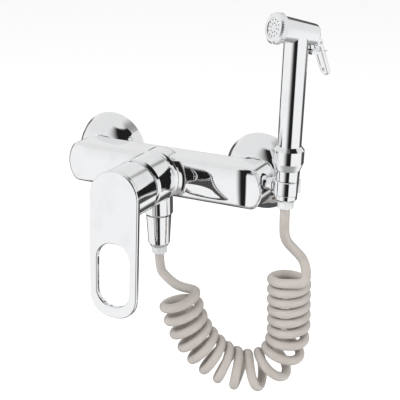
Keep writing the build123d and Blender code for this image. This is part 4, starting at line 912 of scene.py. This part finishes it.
@dataclass(frozen=True)
class SpiralHose:
    """The hose from the mixer's outlet to the hand spray, tails and curls in one tube.

    Attributes:
        radius: Radius of the hose.
        curl_radius: Radius of the curls, to the hose's centre line.
        curl_count: Number of curls, the last one less half a turn.
        curl_gap: Room between two curls where they are closest.
        loose_pitch: Advance of one curl on the mixer's side.
        tightening: Distances along the route between which the curls draw together.
        points_per_curl: Control points in one curl.
        plane_turn: Degrees that the route's plane is turned from the wall.
        plane_middle: Point of that plane which the route's sideways places keep to.
        route: Sideways and upright places of the curls' axis, in millimetres.
        route_steps: Steps between two points of the route.
        exit_point: Where the hose leaves the lower sleeve.
        lower_tail: Points below the outlet, in millimetres.
        upper_tail: Points below the spray, in millimetres.
        join_runs: Straight runs from the curls' ends towards the two tails.
        eased_points: Points of the first curl that the lower tail takes over.
        ring_middle: Middle of the holder's ring, in millimetres.
        spray_lean: Degrees that the hanging spray leans to the right.
        upper_drop: How far below the ring's middle the hose ends.
        upper_run: Straight run of the hose below that end, in millimetres.
        line_steps: Steps between two points of the centre line.
        rounding: How finely the hose is rounded.
        blend_from: Not used.
        blend_to: Not used.
    """

    radius: float = 4.1 * MM
    curl_radius: float = 14.9 * MM
    curl_count: int = 18
    curl_gap: float = 0.96 * MM
    loose_pitch: float = 12.1 * MM
    tightening: Span = (80.0 * MM, 106.0 * MM)
    points_per_curl: int = 16
    plane_turn: float = 25.0
    plane_middle: Triple = (70.5 * MM, -47.0 * MM, 0.0)
    route: tuple[Span, ...] = (
        (23.9, -98.6),
        (29.9, -124.6),
        (43.2, -147.6),
        (60.6, -164.2),
        (83.0, -173.0),
        (102.2, -168.6),
        (114.6, -155.0),
        (119.4, -138.0),
        (119.5, -121.1),
        (118.9, -104.8),
        (118.6, -60.0),
    )
    route_steps: int = 60
    exit_point: Triple = (0.0, -49.0 * MM, -72.4 * MM)
    lower_tail: tuple[Triple, ...] = (
        (0.3, -49.0, -87.5),
        (5.5, -49.5, -92.6),
    )
    upper_tail: tuple[Triple, ...] = (
        (127.5, -24.5, -65.0),
        (117.9, -27.0, -55.3),
        (114.6, -38.0, -44.1),
    )
    join_runs: Span = (2.0 * MM, 14.5 * MM)
    eased_points: int = 3
    ring_middle: Triple = (117.2, -45.0, 6.2)
    spray_lean: float = 2.25
    upper_drop: float = 19.1 * MM
    upper_run: float = 18.0
    line_steps: int = 4
    rounding: int = 6
    blend_from: Triple = (30.0 * MM, -47.0 * MM, -160.0 * MM)
    blend_to: Triple = (130.0 * MM, -47.0 * MM, -130.0 * MM)

    def pitch(self, axis: MeasuredLine, distance: float) -> float:
        """Advance of the curls in one turn.

        Args:
            axis: Axis of the curls.
            distance: Distance along it.

        Returns:
            The advance, never so small that two curls meet inside a bend.
        """
        start, end = self.tightening
        share = min(max((distance - start) / (end - start), 0.0), 1.0)
        closest = 2 * self.radius + self.curl_gap
        eased = self.loose_pitch + (closest - self.loose_pitch) * share
        bend = axis.bend(distance, self.radius)
        return max(eased, closest / (1 - self.curl_radius * bend))

    def coil_points(self) -> list[Vector]:
        """Wind the curls round the route.

        Returns:
            Control points of the curls, from the mixer's side to the spray's.
        """
        middle = Vector(self.plane_middle)
        turn = math.radians(self.plane_turn)
        level = Vector((math.cos(turn), math.sin(turn), 0.0))
        side = Vector((-math.sin(turn), math.cos(turn), 0.0))
        route = tuple(
            middle + level * (x * MM - middle.x) + Vector((0, 0, z * MM))
            for x, z in self.route
        )
        axis = MeasuredLine(Spline("hose_route", route, self.route_steps))
        quarters = 4 * self.curl_count - 2
        stations = [0.0]
        for _ in range(quarters):
            stations.append(stations[-1] + self.pitch(axis, stations[-1]) / 4)
        steps = self.points_per_curl // 4
        # The spline runs inside its control points, which stand out by this much
        reach = self.curl_radius / math.cos(math.pi / self.points_per_curl) ** 0.5
        points = []
        for count in range(quarters * steps + 1):
            quarter = min(count // steps, quarters - 1)
            share = count / steps - quarter
            start, end = stations[quarter], stations[quarter + 1]
            station = start + (end - start) * share
            outwards = side.cross(axis.aim(station, self.radius)).normalized()
            angle = math.pi / 2 + count * 2 * math.pi / self.points_per_curl
            spoke = outwards * math.cos(angle) + side * math.sin(angle)
            points.append(axis.at(station) + spoke * reach)
        return points

    def line_points(self) -> tuple[Vector, ...]:
        """Lay the hose's centre line from the mixer's outlet to the spray.

        Returns:
            Its control points.
        """
        coil = self.coil_points()
        first_aim = (coil[1] - coil[0]).normalized()
        last_aim = (coil[-1] - coil[-2]).normalized()
        lean = math.radians(self.spray_lean)
        upward = Vector((math.sin(lean), 0.0, math.cos(lean)))
        upper_end = Vector(self.ring_middle) * MM + upward * -self.upper_drop
        return (
            Vector(self.exit_point),
            *(Vector(point) * MM for point in self.lower_tail),
            coil[0] - first_aim * self.join_runs[0],
            *coil[self.eased_points :],
            coil[-1] + last_aim * self.join_runs[1],
            *(Vector(point) * MM for point in self.upper_tail),
            upper_end - upward * self.upper_run * MM,
            upper_end,
        )

    def build(self) -> bpy.types.Object:
        """Wind the hose and skin it, from the mixer's outlet to the spray.

        Returns:
            The finished hose.
        """
        spline = Spline("hose_line", self.line_points(), self.line_steps)
        line = MeasuredLine(spline)
        skin = spline.mesh(self.radius, self.rounding)
        hose = Bench.start("spiral_hose_tube", skin)
        Bench.finish(hose, Slot.HOSE, "spiral_hose")
        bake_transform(hose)
        log.info("hose is %.3f m long", line.length)
        return hose


@dataclass(frozen=True)
class ValveSpring:
    """The trigger valve's spring, which the stem's flange presses together.

    Attributes:
        merge_distance: Corners of the CAD mesh that are closer than this become one.
    """

    merge_distance: float = 0.001 * MM

    def build(self, node: bpy.types.Object) -> bpy.types.Object:
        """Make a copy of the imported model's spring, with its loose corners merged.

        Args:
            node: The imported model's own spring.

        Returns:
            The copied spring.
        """
        spring = Bench.start("valve_spring_coil", node.data.copy())
        bpy.ops.object.mode_set(mode="EDIT")
        bpy.ops.mesh.select_all(action="SELECT")
        bpy.ops.mesh.remove_doubles(threshold=self.merge_distance)
        bpy.ops.object.mode_set(mode="OBJECT")
        Bench.finish(spring, Slot.STEEL, "valve_spring")
        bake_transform(spring)
        return spring


@dataclass(frozen=True)
class MirroredRoom:
    """The room that the chrome mirrors: white walls with dark fields.

    A direction has a bearing, in degrees from the camera round to its right, a
    height, which is the sine of its angle above the level, and a sideways part.
    Each span is where a field sets in or ends, and each strength is how dark it is.

    Attributes:
        flag_starts: Bearings where the flag beside the camera sets in.
        flag_end: Bearing where it ends at the level and below.
        flag_end_fade: Bearings about that end over which it fades.
        flag_widenings: Heights over which it widens, each with its degrees.
        flag_top: Heights where it ends.
        flag_bottom: Depths below the level where it ends.
        aside_starts: Bearings where the field on the right sets in.
        aside_top: Heights where it ends.
        aside_bottom: Heights where it sets in.
        aside_strength: How dark it is.
        rim_starts: Bearings where the low rim of that field sets in.
        rim_bottom: Heights where the rim sets in.
        rim_top: Heights where the rim ends.
        rim_strength: How dark the rim is.
        behind_right: Bearings where the field at the back sets in on the right.
        behind_left: Bearings where it ends on the left.
        behind_top: Heights where it ends in the middle.
        behind_slope: How much higher it ends towards the right.
        behind_least: Sideways part from which that slope starts.
        behind_strength: How dark it is.
        overhead_sides: Sideways parts where the field overhead sets in.
        overhead_heights: Heights where it sets in.
        overhead_strength: How dark it is.
        under_heights: Heights where the field below ends.
        under_strength: How dark it is.
        glow: Brightness of the walls low down.
        glow_heights: Heights over which they grow darker.
        glow_loss: How much darker they grow.
        least: Brightness of full darkness.
    """

    flag_starts: Span = (-52.0, -12.0)
    flag_end: float = 13.0
    flag_end_fade: Span = (-4.0, 4.0)
    flag_widenings: tuple[tuple[Span, float], ...] = (
        ((0.05, 0.30), 20.0),
        ((0.50, 0.70), 45.0),
    )
    flag_top: Span = (0.86, 0.94)
    flag_bottom: Span = (0.82, 0.93)
    aside_starts: Span = (100.0, 122.0)
    aside_top: Span = (-0.12, 0.12)
    aside_bottom: Span = (-0.46, -0.38)
    aside_strength: float = 0.82
    rim_starts: Span = (98.0, 110.0)
    rim_bottom: Span = (-0.45, -0.40)
    rim_top: Span = (-0.27, -0.20)
    rim_strength: float = 0.93
    behind_right: Span = (134.0, 146.0)
    behind_left: Span = (-146.0, -130.0)
    behind_top: Span = (0.02, 0.24)
    behind_slope: float = 0.9
    behind_least: float = -0.1
    behind_strength: float = 0.93
    overhead_sides: Span = (0.15, 0.5)
    overhead_heights: Span = (0.60, 0.80)
    overhead_strength: float = 0.6
    under_heights: Span = (-0.88, -0.70)
    under_strength: float = 0.62
    glow: float = 0.955
    glow_heights: Span = (-0.25, 0.45)
    glow_loss: float = 0.145
    least: float = 0.015

    def flag(self, bearing: Wire, height: Wire) -> Wire:
        """Darken the flag beside the camera.

        Args:
            bearing: Bearing of the direction.
            height: Its height.

        Returns:
            The darkness, between 0 and 1.
        """
        end: Wire | float = self.flag_end
        for heights, degrees in self.flag_widenings:
            end = end + height.step(*heights) * degrees
        past_end = (bearing - end).step(*self.flag_end_fade)
        flag = bearing.step(*self.flag_starts) * (1 - past_end)
        below = (height * -1).step(*self.flag_bottom)
        return flag * (1 - height.step(*self.flag_top)) * (1 - below)

    def aside(self, bearing: Wire, height: Wire) -> Wire:
        """Darken the field on the right and its rim.

        Args:
            bearing: Bearing of the direction.
            height: Its height.

        Returns:
            The darkness, between 0 and 1.
        """
        aside = bearing.step(*self.aside_starts) * (1 - height.step(*self.aside_top))
        aside = aside * self.aside_strength
        rim = bearing.step(*self.rim_starts) * height.step(*self.rim_bottom)
        rim = rim * (1 - height.step(*self.rim_top)) * self.rim_strength
        return (aside * height.step(*self.aside_bottom)).over(rim)

    def behind(self, bearing: Wire, height: Wire, sideways: Wire) -> Wire:
        """Darken the field at the back.

        Args:
            bearing: Bearing of the direction.
            height: Its height.
            sideways: Its sideways part.

        Returns:
            The darkness, between 0 and 1.
        """
        right = bearing.step(*self.behind_right)
        behind = (right + 1 - bearing.step(*self.behind_left)).under(1.0)
        lift = sideways.over(self.behind_least) * self.behind_slope
        past_top = (height - lift).step(*self.behind_top)
        return behind * (1 - past_top) * self.behind_strength

    def brightness(self, towards: Wire, sideways: Wire, height: Wire) -> Wire:
        """Brightness of the room in a direction.

        Args:
            towards: Part of the direction that goes to the camera.
            sideways: Part that goes to the camera's right.
            height: Part that goes up.

        Returns:
            The brightness, between 0 and 1.
        """
        bearing = sideways.angle_with(towards) * (180 / math.pi)
        overhead = sideways.step(*self.overhead_sides)
        overhead = overhead * height.step(*self.overhead_heights)
        under = 1 - height.step(*self.under_heights)
        dark = self.flag(bearing, height)
        for field in (
            self.aside(bearing, height),
            self.behind(bearing, height, sideways),
            overhead * self.overhead_strength,
            under * self.under_strength,
        ):
            dark = dark.over(field)
        glow = self.glow - height.step(*self.glow_heights) * self.glow_loss
        return glow * (1 - dark) + self.least


@dataclass(frozen=True)
class Softbox:
    """A square lamp that looks at the tap.

    Attributes:
        name: Name of the lamp.
        place: Where it hangs.
        size: Side of its square.
        power: Its power in watts.
        target: Point that it looks at.
    """

    name: str
    place: Triple
    size: float
    power: float
    target: Triple = (0.05, -0.04, 0.0)

    def build(self) -> None:
        """Hang the lamp, out of the chrome's sight."""
        lamp = bpy.data.lights.new(self.name, "AREA")
        lamp.energy = self.power
        lamp.size = self.size
        hung = Bench.add(self.name, lamp)
        hung.location = self.place
        aim = Vector(self.target) - Vector(self.place)
        hung.rotation_euler = aim.to_track_quat("-Z", "Y").to_euler()
        hung.visible_glossy = False


@dataclass(frozen=True)
class Studio:
    """Pale floor, soft light and the camera at the photograph's angle.

    Attributes:
        camera_place: Where the camera stands.
        azimuth: Degrees that it stands to the right of straight ahead.
        elevation: Degrees that it looks down.
        lens: Focal length in millimetres.
        sensor: Width of its sensor in millimetres.
        clip_start: Least distance that it sees.
        floor_level: Height of the floor.
        floor_span: Side of the floor's square.
        floor_tint: Colour of the floor.
        floor_roughness: Roughness of the floor.
        softboxes: The lamps.
        room: What the chrome mirrors.
        ambience: Brightness of the room for everything but reflections.
    """

    camera_place: Triple = (0.43567, -0.80894, 0.28557)
    azimuth: float = 27.49
    elevation: float = 19.46
    lens: float = 96.87
    sensor: float = 36.0
    clip_start: float = 0.01
    floor_level: float = -0.42
    floor_span: float = 12.0
    floor_tint: Triple = (0.93, 0.93, 0.93)
    floor_roughness: float = 0.9
    softboxes: tuple[Softbox, ...] = (
        Softbox("key_softbox", (-0.9, -1.3, 1.5), 1.2, 26.0),
        Softbox("fill_softbox", (1.5, -0.8, 0.6), 1.0, 9.1),
    )
    room: MirroredRoom = MirroredRoom()
    ambience: float = 1.0

    def floor(self) -> None:
        """Lay the pale floor well under the hose."""
        Bench.clear_selection()
        place = (0, 0, self.floor_level)
        bpy.ops.mesh.primitive_plane_add(size=self.floor_span, location=place)
        plate = bpy.context.object
        plate.name = "studio_floor"
        plate.visible_glossy = False
        made = bpy.data.materials.new("studio_floor")
        made.use_nodes = True
        inputs = {
            "Base Color": (*self.floor_tint, 1.0),
            "Roughness": self.floor_roughness,
        }
        ShaderSheet(made.node_tree).surface(inputs)
        plate.data.materials.append(made)

    def surroundings(self) -> None:
        """Paint the room for reflections, and plain light for everything else."""
        world = bpy.data.worlds.new("studio_room")
        bpy.context.scene.world = world
        world.use_nodes = True
        sheet = ShaderSheet(world.node_tree)
        x, y, z = sheet.axes(sheet.node("ShaderNodeTexCoord").outputs["Generated"])
        turn = math.radians(self.azimuth)
        towards = x * math.sin(turn) - y * math.cos(turn)
        sideways = x * math.cos(turn) + y * math.sin(turn)
        mirrored = self.room.brightness(towards, sideways, z)
        rays = sheet.node("ShaderNodeLightPath")
        seen = Wire(sheet, rays.outputs["Is Glossy Ray"])
        level = mirrored * seen + (1 - seen) * self.ambience
        inputs = {"Strength": level, "Color": WHITE}
        back = sheet.node("ShaderNodeBackground", None, inputs)
        sheet.node("ShaderNodeOutputWorld", None, {"Surface": back.outputs[0]})

    def camera(self) -> None:
        """Stand the camera where the photograph was taken from."""
        lens = bpy.data.cameras.new("photograph_camera")
        lens.lens = self.lens
        lens.sensor_width = self.sensor
        lens.clip_start = self.clip_start
        stand = Bench.add("photograph_camera", lens)
        stand.location = self.camera_place
        pitch = math.radians(90 - self.elevation)
        stand.rotation_euler = (pitch, 0.0, math.radians(self.azimuth))
        bpy.context.scene.camera = stand

    def build(self) -> None:
        """Set up the whole studio."""
        self.floor()
        for softbox in self.softboxes:
            softbox.build()
        self.surroundings()
        self.camera()
        bpy.context.scene.view_settings.view_transform = "Standard"
        log.info("studio is set")


@dataclass(frozen=True)
class CarriedNodes:
    """CAD nodes, which keep their shape and get a worked finish.

    Attributes:
        record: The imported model's record.
        nodes: Its nodes by name.
    """

    record: dict[str, Any]
    nodes: dict[str, bpy.types.Object]

    def dress(self) -> None:
        """Put on each node the finish of its slot in the record, or its own."""
        for entry in self.record["subparts"]:
            name = entry["node"]
            slot = Slot(entry["material_slot"])
            material = OWN_FINISHES.get(name, FINISHES[slot]).material()
            for place in self.nodes[name].material_slots:
                place.material = material
            log.info("%s is dressed in %s", name, material.name)


def main() -> None:
    """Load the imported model, dress it and set up the studio."""
    logging.basicConfig(level=logging.INFO, format="%(message)s")
    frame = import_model()
    Studio().build()
    CarriedNodes(frame["record"], frame["nodes"]).dress()
    SpiralHose().build()
    ValveSpring().build(frame["nodes"]["valve_spring"])
    bpy.context.view_layer.update()


if __name__ == "__main__":
    main()
